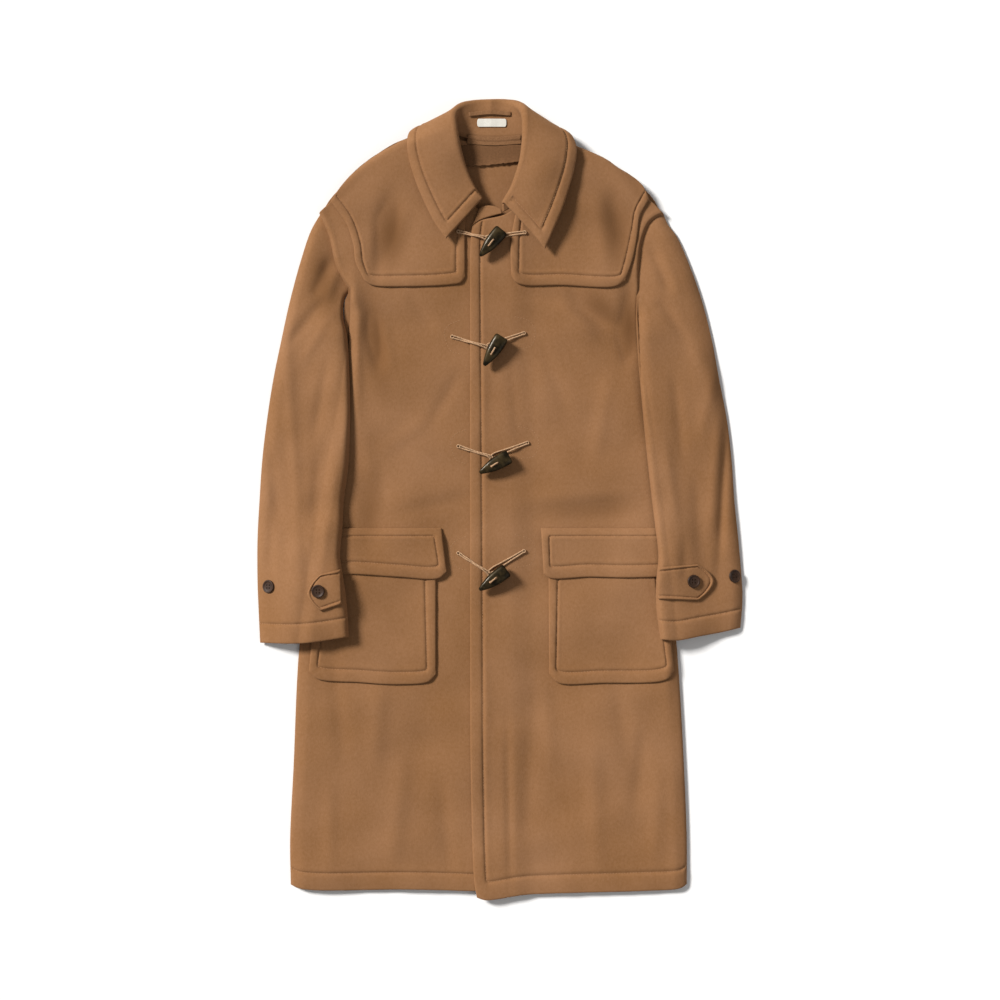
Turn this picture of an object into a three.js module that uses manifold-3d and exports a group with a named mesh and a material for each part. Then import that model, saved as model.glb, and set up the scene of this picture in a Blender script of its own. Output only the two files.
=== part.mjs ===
// A wool duffle coat laid flat on its back, collar towards +Y, seen from above.
// Millimetres, +Z up. Left and right are those of the view from above.
import * as THREE from 'three';
import Module from 'manifold-3d';

const wasm = await Module();
wasm.setup();
const { Manifold, Mesh: Solid } = wasm;

// Cloth and how it lies
const WOOL = 3;
const SEAM = 0.3;
const SEAM_GAP = 0.4;
const LAY = 0.8;
const LAYER = WOOL + LAY;
const COLLAR_WALL = 4.5;
const FACING = 1.5;
const TAPE = 1;

// Fullness: how far a front or an upper sleeve stands off the wall below it
const BODY_REST = 1.9;
const BODY_MAX = 3.9;
const SLEEVE_REST = 3.2;
const SLEEVE_MAX = 3.9;
const FOLD_RUN = 18;
const SHOULDER_RUN = 9;
const TUCK = 11;
// Direction, across and up, in which a panel's shoulder edge keeps inside the yoke's
const TUCK_WAY = { x: 0.6, y: -0.8 };
const ARM_RAMP = 66;
const CUFF_LIFT = 9;

// Where the pieces begin and end
const OVER_EDGE = -44;
const UNDER_EDGE = 10;
const LAP_RUN = 40;
const YOKE_HEM = 315;
const YOKE_RUN = 95;
const YOKE_FRONT = { left: -51, right: 16 };
const ARMPIT = 309;
const FLAP_TOP = -41;
const FLAP_HEM = -115;
const BAG_TOP = -59;
const NECK = { x: -10, y: 482 };
const NECK_INSET = 5;
const YOKE_NECK_INSET = 7.5;

// Where a height comes in or fades out, from one place to the other
const NECK_RISE = [395, 500];
const LEAF_LEFT = [-235, -140];
const LEAF_RIGHT = [118, 213];
const HEM_FADE = [-590, -540];
const NECK_FADE = [400, 470];
const ARM_LANDING = [236, 288];
const CUFF_SETTLED = [-170, -10];
const SHOULDER_ROLL_LEFT = [-249, -212];
const SHOULDER_ROLL_RIGHT = [182, 219];

// Small pieces
const CORD = 2.6;
const BUTTON_R = 9.7;
const TOGGLE_LENGTH = 50;
const TOGGLE_WIDTH = 19;
const TOGGLE_THICK = 12;
const HOLE_PITCH = 10;
const HOLE_R = 2.8;
const CORD_SIDES = 6;
const CORD_STEPS = 27;
const LOOP_STEPS = 14;
const STRAND_GAP = 3.8;
const BIGHT_OUT = 13;
const LABEL = 0.6;
const HANGER_RISE = 1.6;

const table = (names, values) =>
  values.map((row) => Object.fromEntries(names.map((name, i) => [name, row[i]])));
const outline = (...values) => table(['x', 'y'], values);

// Side edges of the body, from the hem to the armpit
const SIDE = {
  left: outline(
    [-308, -566], [-309, -500], [-304, -394], [-295, -212], [-280, -110], [-263, 0],
    [-246, 90], [-234, 150], [-225, 225], [-221, 265], [-220, ARMPIT],
  ),
  right: outline(
    [275, -565], [275, -500], [271, -394], [260, -212], [249, -110], [237, 0],
    [224, 100], [212, 180], [203.4, 232], [202, 262], [202.2, 294], [204, ARMPIT],
  ),
  // The back reaches out under the slit between the body and the left sleeve.
  backLeft: outline(
    [-308, -566], [-309, -500], [-304, -394], [-295, -212], [-280, -110], [-263, 0],
    [-246, 90], [-234, 150], [-226, 225], [-229, 262], [-227.2, 297], [-220, ARMPIT],
  ),
};
// Armhole seams, from the armpit to the shoulder point
const ARMHOLE = {
  left: outline([-220, ARMPIT], [-228, 320], [-241, 344], [-251, 387], [-259, 407], [-266, 422]),
  right: outline([204, ARMPIT], [204, 338], [207, 372], [212, 391], [219, 406], [229, 415], [241, 420]),
};
// Shoulder edges, from the shoulder point to the neck point
const SHOULDER = {
  left: outline(
    [-266, 422], [-250, 444], [-232, 463], [-215, 482], [-197, 497], [-179, 509],
    [-144, 528], [-90, 546],
  ),
  right: outline(
    [241, 420], [228, 441], [209, 462], [191, 478], [173, 489], [156, 501],
    [113, 520], [69, 541],
  ),
};
// Sleeve edges, from the armhole to the cuff
const SLEEVE_OUTER = {
  left: outline(
    [-266, 422], [-278, 397], [-293, 353], [-309, 294], [-322, 235], [-334, 176], [-343, 118],
    [-350, 59], [-354, 0], [-357, -59], [-357, -118], [-356, -147], [-353, -210],
  ),
  right: outline(
    [241, 420], [247, 406], [260, 388], [276, 353], [297, 294], [312, 235], [323, 176],
    [334, 118], [341, 59], [345, 0], [351, -59], [356, -118], [357, -147], [354, -188],
  ),
};
const SLEEVE_INNER = {
  left: outline(
    [-220, ARMPIT], [-228, 298], [-230, 265], [-225, 243], [-222, 203], [-220, 147], [-220, 103],
    [-223, 44], [-229, 0], [-231, -41], [-234, -82], [-231, -103], [-225, -143], [-221, -200],
  ),
  right: outline(
    [204, ARMPIT], [203.8, 294], [203.4, 265], [204.4, 235], [208, 147], [215, 73], [223, 0],
    [228, -43], [232, -82], [229, -118], [229, -156], [235, -204],
  ),
};
const CUFF = {
  left: outline([-353, -210], [-297, -210], [-265, -207], [-221, -200]),
  right: outline([354, -188], [323, -195], [294, -200], [259, -206], [235, -204]),
};
const HEM = {
  under: outline([-308, -566], [-292, -572], [-126, -573], [-44, -575], [UNDER_EDGE, -576]),
  over: outline(
    [-34, -584], [-21, -588], [32, -581], [68, -579], [138, -577], [210, -575],
    [266, -571], [275, -565],
  ),
  back: outline([-308, -566], [-292, -570], [-126, -570], [100, -570], [266, -570], [275, -565]),
};
const OVER_FRONT_EDGE = outline(
  [-34, -584], [-38, -560], [-43, -400], [OVER_EDGE, -200], [OVER_EDGE, 250], [-43.5, 375],
  [-41, 402],
);
// The end of the collar's stand, where it shows above the lapped front's neck seam
const STAND_END = {
  bottom: outline([-40.5, 403], [-28, 411.2], [-8, 417.6], [3, 420.4]),
  top: outline([-31, 427], [-24, 431.5], [-8, 431], [2, 426]),
};

// Soft ridges (rise > 0) and troughs of the cloth: centre, heading of the line in degrees,
// length, width, rise
const FOLD_COLUMNS = ['x', 'y', 'turn', 'length', 'width', 'rise'];
const BODY_FOLDS = table(FOLD_COLUMNS, [
  [-206, 230, 92, 190, 24, 2.0],
  [-178, 372, 82, 110, 34, -1.5],
  [-178, 240, 100, 90, 30, -1.4],
  [-120, 60, 78, 230, 46, 1.1],
  [-190, -20, 95, 120, 34, -0.9],
  [-215, -380, 92, 260, 46, 1.3],
  [-110, -420, 88, 240, 44, -1.1],
  [-60, -330, 91, 300, 30, 0.9],
  [172, 408, 100, 90, 36, -1.5],
  [186, 230, 84, 100, 28, -1.4],
  [128, 283, 135, 90, 22, -1.5],
  [104, 262, 135, 90, 24, 1.2],
  [125, -14, 4, 170, 26, -1.3],
  [96, 120, 96, 200, 46, 1.2],
  [60, -380, 92, 280, 44, -1.1],
  [140, -430, 90, 260, 46, 1.3],
  [215, -400, 86, 240, 40, -1.0],
]);
const SLEEVE_FOLDS = table(FOLD_COLUMNS, [
  [-262, 330, 62, 90, 24, -1.3],
  [-285, 262, 50, 110, 26, -1.2],
  [-303, 80, 94, 330, 24, 0.7],
  [-262, 60, 84, 200, 22, -1.4],
  [-330, -60, 90, 160, 22, -1.2],
  [-290, -60, 100, 130, 24, -1.0],
  [236, 340, 110, 90, 24, -1.2],
  [262, 262, 128, 110, 26, -1.2],
  [300, 120, 80, 240, 26, 0.7],
  [326, -10, 86, 220, 18, -1.9],
  [262, 20, 98, 180, 22, -1.2],
  [290, -80, 84, 120, 24, -1.0],
]);

// Collar, a station for each row, from the left front edge round the back to the right one:
// neck seam, roll line, outer edge, radius of the roll, how far the leaf bows, and how far
// the leaf's edge has gone round to the coat's underside
const COLLAR = table(
  ['nx', 'ny', 'nz', 'rx', 'ry', 'rz', 'ex', 'ey', 'ez', 'roll', 'bow', 'under'],
  [
    [-35, 437, 14, -27, 442, 21, -79, 382, 7, 3.4, 1, 0],
    [-44, 445, 15, -35, 453, 24, -97, 408, 5.5, 3.8, 2, 0],
    [-62, 465, 16, -49, 481, 30, -118, 452, 4, 4.4, 3, 0],
    [-79, 498, 16.5, -59, 513, 36, -131, 490, 2.6, 5.0, 4, 0],
    [-84, 524, 16.5, -64, 541, 37, -136, 519, 4.4, 5.2, 4, 0.02],
    [-79, 540, 15.5, -66, 564, 32, -131, 540, 1.0, 5.2, 1.5, 0.5],
    [-60, 535, 12, -58, 579, 20, -104, 538, 0, 4.6, 1, 1],
    [-38, 530, 10.8, -38, 586, 9, -66, 517, 0, 4.1, 1, 1],
    [-12, 528, 10.4, -14, 587.5, 6.7, -12, 512, 0, 4.0, 0, 1],
    [20, 529, 10.6, 8, 587, 8, 42, 516, 0, 4.1, 1, 1],
    [42, 533, 12, 25, 581, 20, 74, 536, 0, 4.6, 1, 1],
    [59, 537, 15.5, 33, 569, 36, 99, 537, 3.0, 5.2, 1.5, 0.5],
    [62, 520, 17, 35, 543, 42, 111, 519, 8.0, 5.4, 5, 0.02],
    [56, 492, 17, 31, 499, 42, 109, 487, 12, 5.4, 6, 0],
    [41, 458, 17.5, 19, 461, 34, 94, 434, 12, 4.8, 4, 0],
    [20, 433, 18.5, 9, 443, 28, 76, 390, 8, 3.8, 2, 0],
    [4, 423, 19.5, 4, 434, 25.5, 66, 367, 6, 3.4, 1, 0],
  ],
);

// Toggle fastenings: anchors on the two fronts, the middle of the toggle and its heading
const FASTENINGS = table(
  ['lx', 'ly', 'rx', 'ry', 'x', 'y', 'turn'],
  [
    [-61, 394, 36, 392, -13, 376, 50],
    [-70, 240, 35, 245, -10, 218, 58],
    [-61, 79, 40, 84, -8, 52, 29],
    [-61, -78, 35, -75, -10, -117, 36],
  ],
);
const BUTTONS = {
  left: outline([-265, -133], [-339, -127]),
  right: outline([283, -119], [344, -112]),
};
const CUFF_TAB = {
  left: { root: outline([-233, -101], [-231, -152]), tip: outline([-262, -108], [-262, -162]),
    nose: { x: -281, y: -137 } },
  right: { root: outline([231, -145], [231, -98]), tip: outline([292, -147], [290, -94]),
    nose: { x: 315, y: -118 } },
};

const FINISHES = {
  wool: ['#98704c', 0.95],
  lining: ['#7d5c3f', 0.9],
  tape: ['#8a6a4c', 0.85],
  label: ['#e8e4da', 0.8],
  cord: ['#c9a678', 0.7],
  horn: ['#3a2c22', 0.3],
  button: ['#3b2a22', 0.45],
};

const clamp = THREE.MathUtils.clamp;
const lerp = THREE.MathUtils.lerp;
const smooth = (low, high, value) => THREE.MathUtils.smoothstep(value, low, high);
const rounded = (share) => Math.sqrt(1 - (1 - clamp(share, 0, 1)) ** 2);
const steps = (count) => Array.from({ length: count + 1 }, (_, i) => i / count);

function curve(points) {
  const line = new THREE.CatmullRomCurve3(
    points.map((p) => new THREE.Vector3(p.x, p.y, p.z ?? 0)), false, 'centripetal',
  );
  line.arcLengthDivisions = 400;
  return (t) => line.getPointAt(clamp(t, 0, 1));
}

// Two curves end to end, the first one taking the given share of the way.
const joined = (first, second, share) => (t) =>
  t <= share ? first(t / share) : second((t - share) / (1 - share));
const reversed = (line) => (t) => line(1 - t);
// A line along another one, moved to its left by a gap.
const beside = (line, gap) => (t) => {
  const way = line(Math.min(t + 0.02, 1)).sub(line(Math.max(t - 0.02, 0))).normalize();
  return line(t).add(new THREE.Vector3(-way.y * gap, way.x * gap, 0));
};

// X of an edge at a height y, by straight lines between its points
function across(points, y) {
  const up = points[0].y < points.at(-1).y ? points : [...points].reverse();
  const i = clamp(up.findIndex((p) => p.y > y), 1, up.length - 1);
  const last = y >= up.at(-1).y ? up.length - 1 : i;
  const [a, b] = [up[last - 1], up[last]];
  return lerp(a.x, b.x, clamp((y - a.y) / (b.y - a.y), 0, 1));
}

function relief(folds, x, y) {
  let height = 0;
  for (const fold of folds) {
    const angle = THREE.MathUtils.degToRad(fold.turn);
    const dx = x - fold.x;
    const dy = y - fold.y;
    const along = (dx * Math.cos(angle) + dy * Math.sin(angle)) / (fold.length / 2);
    const off = (dy * Math.cos(angle) - dx * Math.sin(angle)) / fold.width;
    height += fold.rise * Math.exp(-off * off) * Math.exp(-(along ** 4));
  }
  return height;
}

function distance(points, x, y) {
  let nearest = Infinity;
  for (let i = 1; i < points.length; i += 1) {
    const [a, b] = [points[i - 1], points[i]];
    const [ux, uy] = [b.x - a.x, b.y - a.y];
    const t = clamp(((x - a.x) * ux + (y - a.y) * uy) / (ux * ux + uy * uy), 0, 1);
    nearest = Math.min(nearest, Math.hypot(x - a.x - t * ux, y - a.y - t * uy));
  }
  return nearest;
}

// Heights, from the floor up
const sideOf = (x) => (x < NECK.x ? 'left' : 'right');
const inside = (x, y) => (x < NECK.x ? x - across(SIDE.left, y) : across(SIDE.right, y) - x);
const leafLift = (x, y) =>
  (COLLAR_WALL + LAY) * smooth(...NECK_RISE, y) * smooth(...LEAF_LEFT, x)
  * (1 - smooth(...LEAF_RIGHT, x));
const backLift = (x, y) =>
  leafLift(x, y) + LAYER * smooth(YOKE_HEM - YOKE_RUN, YOKE_HEM - 18, y);
const backTop = (x, y) => backLift(x, y) + WOOL;

function bodyLoft(x, y) {
  const edge = y < ARMPIT ? inside(x, y) : distance(ARMHOLE[sideOf(x)], x, y);
  const fade = rounded(edge / FOLD_RUN) * smooth(...HEM_FADE, y) * (1 - smooth(...NECK_FADE, y));
  const height = (BODY_REST - LAY + relief(BODY_FOLDS, x, y)) * fade;
  return LAY + clamp(height, 0, BODY_MAX - LAY);
}

const lap = (x) => LAYER * (1 - smooth(UNDER_EDGE + 3, UNDER_EDGE + 3 + LAP_RUN, x));
const underTop = (x, y) => backTop(x, y) + bodyLoft(x, y) + WOOL;
const overTop = (x, y) => underTop(x, y) + lap(x);
const frontTop = (x, y) => (x < OVER_EDGE - 2 ? underTop(x, y) : overTop(x, y));
const yokeDrop = (x, y) =>
  (1 - rounded(distance(SHOULDER[sideOf(x)], x, y) / SHOULDER_RUN)) * (2 * LAYER)
  * smooth(...SHOULDER_ROLL_LEFT, x) * (1 - smooth(...SHOULDER_ROLL_RIGHT, x));
const yokeTop = (x, y) =>
  (x < NECK.x ? underTop(x, y) : overTop(x, y)) + LAYER - yokeDrop(x, y);
const bagTop = (x, y) => frontTop(x, y) + LAYER;
const flapTop = (x, y) => frontTop(x, y) + LAYER + LAYER * (1 - smooth(BAG_TOP + 1, FLAP_TOP - 1, y));
// What a sleeve lies on, padded round the pocket under it
const stack = (x, y) =>
  underTop(x, y)
  + LAYER * (1 - smooth(BAG_TOP + 4, BAG_TOP + 44, y))
  + LAYER * smooth(FLAP_HEM - 42, FLAP_HEM - 4, y) * (1 - smooth(FLAP_TOP + 3, FLAP_TOP + 43, y));

function sleeveFloor(x, y) {
  const onBody = smooth(-5 - ARM_RAMP, -5, inside(x, y)) * (1 - smooth(...ARM_LANDING, y));
  // The left cuff has not settled: it stands off the pocket.
  const lift = x < NECK.x ? CUFF_LIFT * (1 - smooth(...CUFF_SETTLED, y)) : 0;
  return onBody * (stack(x, y) + LAY + lift);
}

function sleeveLoft(x, y) {
  const side = sideOf(x);
  const outer = Math.abs(x - across(SLEEVE_OUTER[side], y));
  const inner = y < ARMPIT
    ? Math.abs(x - across(SLEEVE_INNER[side], y)) + FOLD_RUN * smooth(ARMPIT - 40, ARMPIT, y)
    : FOLD_RUN;
  const fade = rounded(Math.min(outer, inner) / FOLD_RUN);
  const height = (SLEEVE_REST - LAY + relief(SLEEVE_FOLDS, x, y)) * fade;
  return LAY + clamp(height, 0, SLEEVE_MAX - LAY);
}

const sleeveTop = (x, y) => sleeveFloor(x, y) + WOOL + sleeveLoft(x, y) + WOOL;
const half = (top, wall = WOOL) => (x, y) => top(x, y) - wall / 2;

// Builders
const group = new THREE.Group();
group.name = 'duffle_coat';

function add(name, finish, geometry) {
  const [color, roughness] = FINISHES[finish];
  const material = new THREE.MeshStandardMaterial({ color, roughness, metalness: 0 });
  material.name = finish;
  const mesh = new THREE.Mesh(geometry, material);
  mesh.name = name;
  group.add(mesh);
  return mesh;
}

// A closed solid from two faces, each a grid of points, and the rim between them.
function between(upper, lower) {
  const rows = upper.length;
  const columns = upper[0].length;
  const points = [...upper.flat(), ...lower.flat()];
  const at = (face, row, column) => (face * rows + row) * columns + column;
  const index = [];
  const quad = (a, b, c, d) => index.push(a, b, c, a, c, d);
  for (let r = 1; r < rows; r += 1) {
    for (let c = 1; c < columns; c += 1) {
      quad(at(0, r - 1, c - 1), at(0, r - 1, c), at(0, r, c), at(0, r, c - 1));
      quad(at(1, r, c - 1), at(1, r, c), at(1, r - 1, c), at(1, r - 1, c - 1));
    }
  }
  for (let c = 1; c < columns; c += 1) {
    quad(at(1, 0, c - 1), at(1, 0, c), at(0, 0, c), at(0, 0, c - 1));
    quad(at(0, rows - 1, c - 1), at(0, rows - 1, c), at(1, rows - 1, c), at(1, rows - 1, c - 1));
  }
  for (let r = 1; r < rows; r += 1) {
    quad(at(0, r - 1, 0), at(0, r, 0), at(1, r, 0), at(1, r - 1, 0));
    quad(at(1, r - 1, columns - 1), at(1, r, columns - 1), at(0, r, columns - 1),
      at(0, r - 1, columns - 1));
  }
  const geometry = new THREE.BufferGeometry();
  geometry.setAttribute('position', new THREE.Float32BufferAttribute(
    points.flatMap((p) => [p.x, p.y, p.z]), 3,
  ));
  geometry.setIndex(index);
  geometry.computeVertexNormals();
  return geometry;
}

// A panel that lies down: four edges, the shares of the way where its threads run, the
// height of its middle.
function panel({ bottom, top, left, right, us, vs }, height, wall = WOOL) {
  const corner = (u, v, axis) =>
    (1 - v) * ((1 - u) * bottom(0)[axis] + u * bottom(1)[axis])
    + v * ((1 - u) * top(0)[axis] + u * top(1)[axis]);
  const middle = vs.map((v) => us.map((u) => {
    const place = (axis) =>
      (1 - v) * bottom(u)[axis] + v * top(u)[axis]
      + (1 - u) * left(v)[axis] + u * right(v)[axis] - corner(u, v, axis);
    const [x, y] = [place('x'), place('y')];
    return new THREE.Vector3(x, y, height(x, y));
  }));
  const face = (rise) => middle.map((row) =>
    row.map((p) => new THREE.Vector3(p.x, p.y, p.z + rise)));
  return between(face(wall / 2), face(-wall / 2));
}

// A wall of even thickness on both sides of a curved sheet of points.
function shell(middle, wall) {
  const rows = middle.length;
  const columns = middle[0].length;
  const normal = (r, c) => {
    const du = middle[r][Math.min(c + 1, columns - 1)].clone()
      .sub(middle[r][Math.max(c - 1, 0)]);
    const dv = middle[Math.min(r + 1, rows - 1)][c].clone()
      .sub(middle[Math.max(r - 1, 0)][c]);
    return du.cross(dv).normalize();
  };
  const face = (rise) => middle.map((row, r) =>
    row.map((p, c) => p.clone().addScaledVector(normal(r, c), rise)));
  return between(face(wall / 2), face(-wall / 2));
}

// Body
// A body panel's side and a sleeve's head share their points along the armhole.
const UPPER_STEPS = [0, 0.03, 0.1, 0.2, 0.3, 0.4, 0.5, 0.6, 0.7, 0.8, 0.9, 0.97, 1];
const UNDER_STEPS = [0, 0.1, 0.22, 0.36, 0.5, 0.64, 0.78, 0.9, 1];
const ARM_SHARE = 0.14;
const bodyRows = (sideRows, armSteps) => [
  ...steps(sideRows).slice(0, -1).map((t) => t * (1 - ARM_SHARE)),
  ...armSteps.map((t) => 1 - ARM_SHARE + t * ARM_SHARE),
];
// The neck seam's side of a front, at the collar's stations, and that of the back
const frontNeck = (stations, inset = NECK_INSET) => stations.map((i) => {
  const row = station(i / (COLLAR.length - 1));
  const away = new THREE.Vector3(row.nx - NECK.x, row.ny - NECK.y, 0).normalize();
  return new THREE.Vector3(row.nx, row.ny, 0).addScaledVector(away, inset);
});
const backNeckEdge = (...stations) => stations.map((i) => {
  const row = station(i / (COLLAR.length - 1));
  return new THREE.Vector3(row.nx, row.ny - NECK_INSET, 0);
});
const bodySide = (side, edge = SIDE[side]) =>
  joined(curve(edge), curve(ARMHOLE[side]), 1 - ARM_SHARE);
// The panels under a yoke keep inside its rolled shoulder edge.
const tucked = (side, depth) => SHOULDER[side].map((p, i) => {
  const depthHere = depth * smooth(0, 2, i);
  return {
    x: p.x + (side === 'left' ? 1 : -1) * TUCK_WAY.x * depthHere,
    y: p.y + TUCK_WAY.y * depthHere,
  };
});
const CENTRE_LEFT = { x: UNDER_EDGE, y: 411 };

function frontTopEdge(side, depth) {
  const shoulder = tucked(side, depth).slice(0, -1);
  if (side === 'left') {
    const neck = frontNeck([0, 1, 2, 3, 4, 4.5]);
    return joined(curve([...shoulder, neck.at(-1)]),
      curve([CENTRE_LEFT, { x: -14, y: 414 }, ...neck].reverse()), 0.5);
  }
  const neck = frontNeck([11.5, 12, 13, 14, 15, 16]);
  return joined(curve([OVER_FRONT_EDGE.at(-1), { x: -28, y: 410.2 }, ...[...neck].reverse()]),
    curve([neck[0], ...[...shoulder].reverse()]), 0.5);
}

const columns = steps(11);
add('front_under', 'wool', panel({
  bottom: curve(HEM.under),
  top: frontTopEdge('left', TUCK),
  left: bodySide('left'),
  right: curve([{ x: UNDER_EDGE, y: -576 }, { x: UNDER_EDGE, y: 0 }, CENTRE_LEFT]),
  us: columns,
  vs: bodyRows(21, UPPER_STEPS),
}, half(underTop)));
add('front_over', 'wool', panel({
  bottom: curve(HEM.over),
  top: frontTopEdge('right', TUCK),
  left: curve(OVER_FRONT_EDGE),
  right: bodySide('right'),
  us: columns,
  vs: bodyRows(21, UPPER_STEPS),
}, half(overTop)));

const backNeck = backNeckEdge(5.3, 6, 7, 8, 9, 10, 10.7);
const shoulderToNeck = (side, depth, point) =>
  curve([...tucked(side, depth).slice(0, -1), point]);
const backTopEdge = (depth) => {
  const left = shoulderToNeck('left', depth, backNeck[0]);
  const right = shoulderToNeck('right', depth, backNeck.at(-1));
  const rest = joined(curve(backNeck), reversed(right), 0.5);
  return joined(left, rest, 1 / 3);
};
add('back', 'wool', panel({
  bottom: curve(HEM.back),
  top: backTopEdge(TUCK),
  left: bodySide('left', SIDE.backLeft),
  right: bodySide('right'),
  us: steps(12),
  vs: bodyRows(16, UPPER_STEPS),
}, half(backTop)));

const YOKE_BACK_TOP = [
  { x: -263, y: 421 },
  ...SHOULDER.left.slice(1, -1).map((p) => ({ x: p.x + TUCK_WAY.x, y: p.y + TUCK_WAY.y })),
  ...outline([-118, 524], [-66, 522], [-12, 520], [42, 521], [92, 519]),
  ...SHOULDER.right.slice(1, -1).reverse().map((p) => ({ x: p.x - TUCK_WAY.x, y: p.y + TUCK_WAY.y })),
  { x: 238, y: 419 },
];
const YOKE_BACK_HEM = outline([-217, 314], [-120, 306], [-10, 303], [100, 306], [200, 314]);
add('yoke_back', 'wool', panel({
  bottom: curve(YOKE_BACK_HEM),
  top: curve(YOKE_BACK_TOP),
  left: curve([{ x: -217, y: 314 }, ...ARMHOLE.left.slice(1).map((p) => ({ x: p.x + 3, y: p.y }))]),
  right: curve([{ x: 200, y: 314 }, ...ARMHOLE.right.slice(1).map((p) => ({ x: p.x - 3, y: p.y }))]),
  us: steps(12),
  vs: steps(6),
}, (x, y) => leafLift(x, y) + WOOL / 2));

// Yokes
const YOKE_OUTER = {
  left: outline([-199, 322], [-212, 349], [-215, 373], [-226, 406], [-249, 438]),
  right: outline([184, 322], [195, 354], [202, 391], [205, 415], [219, 442]),
};
const YOKE_BOTTOM = {
  left: outline([-199, 322], [-187, 315], [-138, 313], [-70, 316], [-57, 319], [YOKE_FRONT.left, 328]),
  right: outline([YOKE_FRONT.right, 330], [22, 320], [35, 315], [90, 315], [168, 313], [184, 322]),
};
const yokeNeck = frontNeck([5, 4, 3, 2, 1], YOKE_NECK_INSET);
const yokeNeckRight = frontNeck([15, 14, 13, 12, 11], YOKE_NECK_INSET);
const yokeRows = [0, 0.05, 0.16, 0.32, 0.5, 0.68, 0.84, 0.94, 0.975, 1];
const shoulderFrom = (side, corner) => [corner, ...SHOULDER[side].slice(2, -1)];
add('yoke_left', 'wool', panel({
  bottom: curve(YOKE_BOTTOM.left),
  top: joined(curve([...shoulderFrom('left', YOKE_OUTER.left.at(-1)), yokeNeck[0]]),
    curve(yokeNeck), 0.6),
  left: curve(YOKE_OUTER.left),
  right: curve([YOKE_BOTTOM.left.at(-1), { x: YOKE_FRONT.left, y: 400 }, yokeNeck.at(-1)]),
  us: steps(10),
  vs: yokeRows,
}, half(yokeTop)));
add('yoke_right', 'wool', panel({
  bottom: curve(YOKE_BOTTOM.right),
  top: joined(curve(yokeNeckRight),
    curve([yokeNeckRight.at(-1), ...shoulderFrom('right', YOKE_OUTER.right.at(-1)).reverse()]), 0.4),
  left: curve([YOKE_BOTTOM.right[0], { x: YOKE_FRONT.right, y: 380 }, yokeNeckRight[0]]),
  right: curve(YOKE_OUTER.right),
  us: steps(10),
  vs: yokeRows,
}, half(yokeTop)));

// Sleeves
for (const side of ['left', 'right']) {
  const seam = beside(curve(ARMHOLE[side]), side === 'left' ? SEAM_GAP : -SEAM_GAP);
  const ends = (points) => curve([seam(points === SLEEVE_OUTER[side] ? 1 : 0), ...points.slice(1)]);
  const outer = reversed(ends(SLEEVE_OUTER[side]));
  const inner = reversed(ends(SLEEVE_INNER[side]));
  const cuff = curve(CUFF[side]);
  const isLeft = side === 'left';
  const edges = {
    bottom: isLeft ? cuff : reversed(cuff),
    top: isLeft ? reversed(seam) : seam,
    left: isLeft ? outer : inner,
    right: isLeft ? inner : outer,
  };
  add(`upper_sleeve_${side}`, 'wool', panel(
    { ...edges, us: UPPER_STEPS, vs: steps(22) }, half(sleeveTop),
  ));
  add(`under_sleeve_${side}`, 'wool', panel(
    { ...edges, us: UNDER_STEPS, vs: steps(17) }, (x, y) => sleeveFloor(x, y) + WOOL / 2,
  ));
}

// Pockets and their flaps
const BAG = {
  left: {
    bottom: outline([-281, -252], [-268, -263], [-207, -268], [-150, -271], [-105, -267], [-94, -256]),
    top: outline([-263, BAG_TOP], [-94, BAG_TOP]),
  },
  right: {
    bottom: outline([72, -256], [86, -269], [150, -269], [232, -267], [247, -262], [256, -250]),
    top: outline([71, BAG_TOP], [236, BAG_TOP]),
  },
};
const FLAP = {
  left: {
    bottom: outline([-267, -109], [-213, -109], [-150, -113], [-90, -115], [-78, -105]),
    top: outline([-262, FLAP_TOP], [-86, FLAP_TOP]),
  },
  right: {
    bottom: outline([64, -109], [74, -115], [130, -113], [180, -114], [238, -113]),
    top: outline([60, FLAP_TOP], [233, FLAP_TOP]),
  },
};
const sewnOn = ({ bottom, top }, us, vs) => ({
  bottom: curve(bottom),
  top: curve(top),
  left: curve([bottom[0], top[0]]),
  right: curve([bottom.at(-1), top.at(-1)]),
  us,
  vs,
});
for (const side of ['left', 'right']) {
  add(`pocket_${side}`, 'wool', panel(sewnOn(BAG[side], steps(10), steps(9)), half(bagTop)));
  add(`pocket_flap_${side}`, 'wool', panel(sewnOn(FLAP[side], steps(10), steps(4)), half(flapTop)));
}

// Cuff tabs and buttons
const tabTop = (x, y) => sleeveTop(x, y) + LAYER;
const TAB_ROWS = steps(2);
for (const side of ['left', 'right']) {
  const { root, tip, nose } = CUFF_TAB[side];
  const isLeft = side === 'left';
  const [low, high] = isLeft ? [1, 0] : [0, 1];
  const end = curve([tip[low], { x: lerp(tip[low].x, nose.x, 0.7), y: lerp(tip[low].y, nose.y, 0.5) },
    nose, { x: lerp(tip[high].x, nose.x, 0.7), y: lerp(tip[high].y, nose.y, 0.5) }, tip[high]]);
  const start = curve([root[low], root[high]]);
  add(`cuff_tab_${side}`, 'wool', panel({
    bottom: isLeft ? curve([tip[low], root[low]]) : curve([root[low], tip[low]]),
    top: isLeft ? curve([tip[high], root[high]]) : curve([root[high], tip[high]]),
    left: isLeft ? end : start,
    right: isLeft ? start : end,
    us: steps(6),
    vs: steps(6),
  }, half(tabTop)));
}

const BUTTON_PROFILE = outline([0, 0], [8.2, 0], [BUTTON_R, 1.3], [BUTTON_R, 2.6], [8.8, 3.6], [7.4, 3.4],
  [6.2, 2.5], [0, 2.5]);
const BUTTON_HOLE_R = 1;
const BUTTON_HOLE_AT = 2.1;

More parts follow.
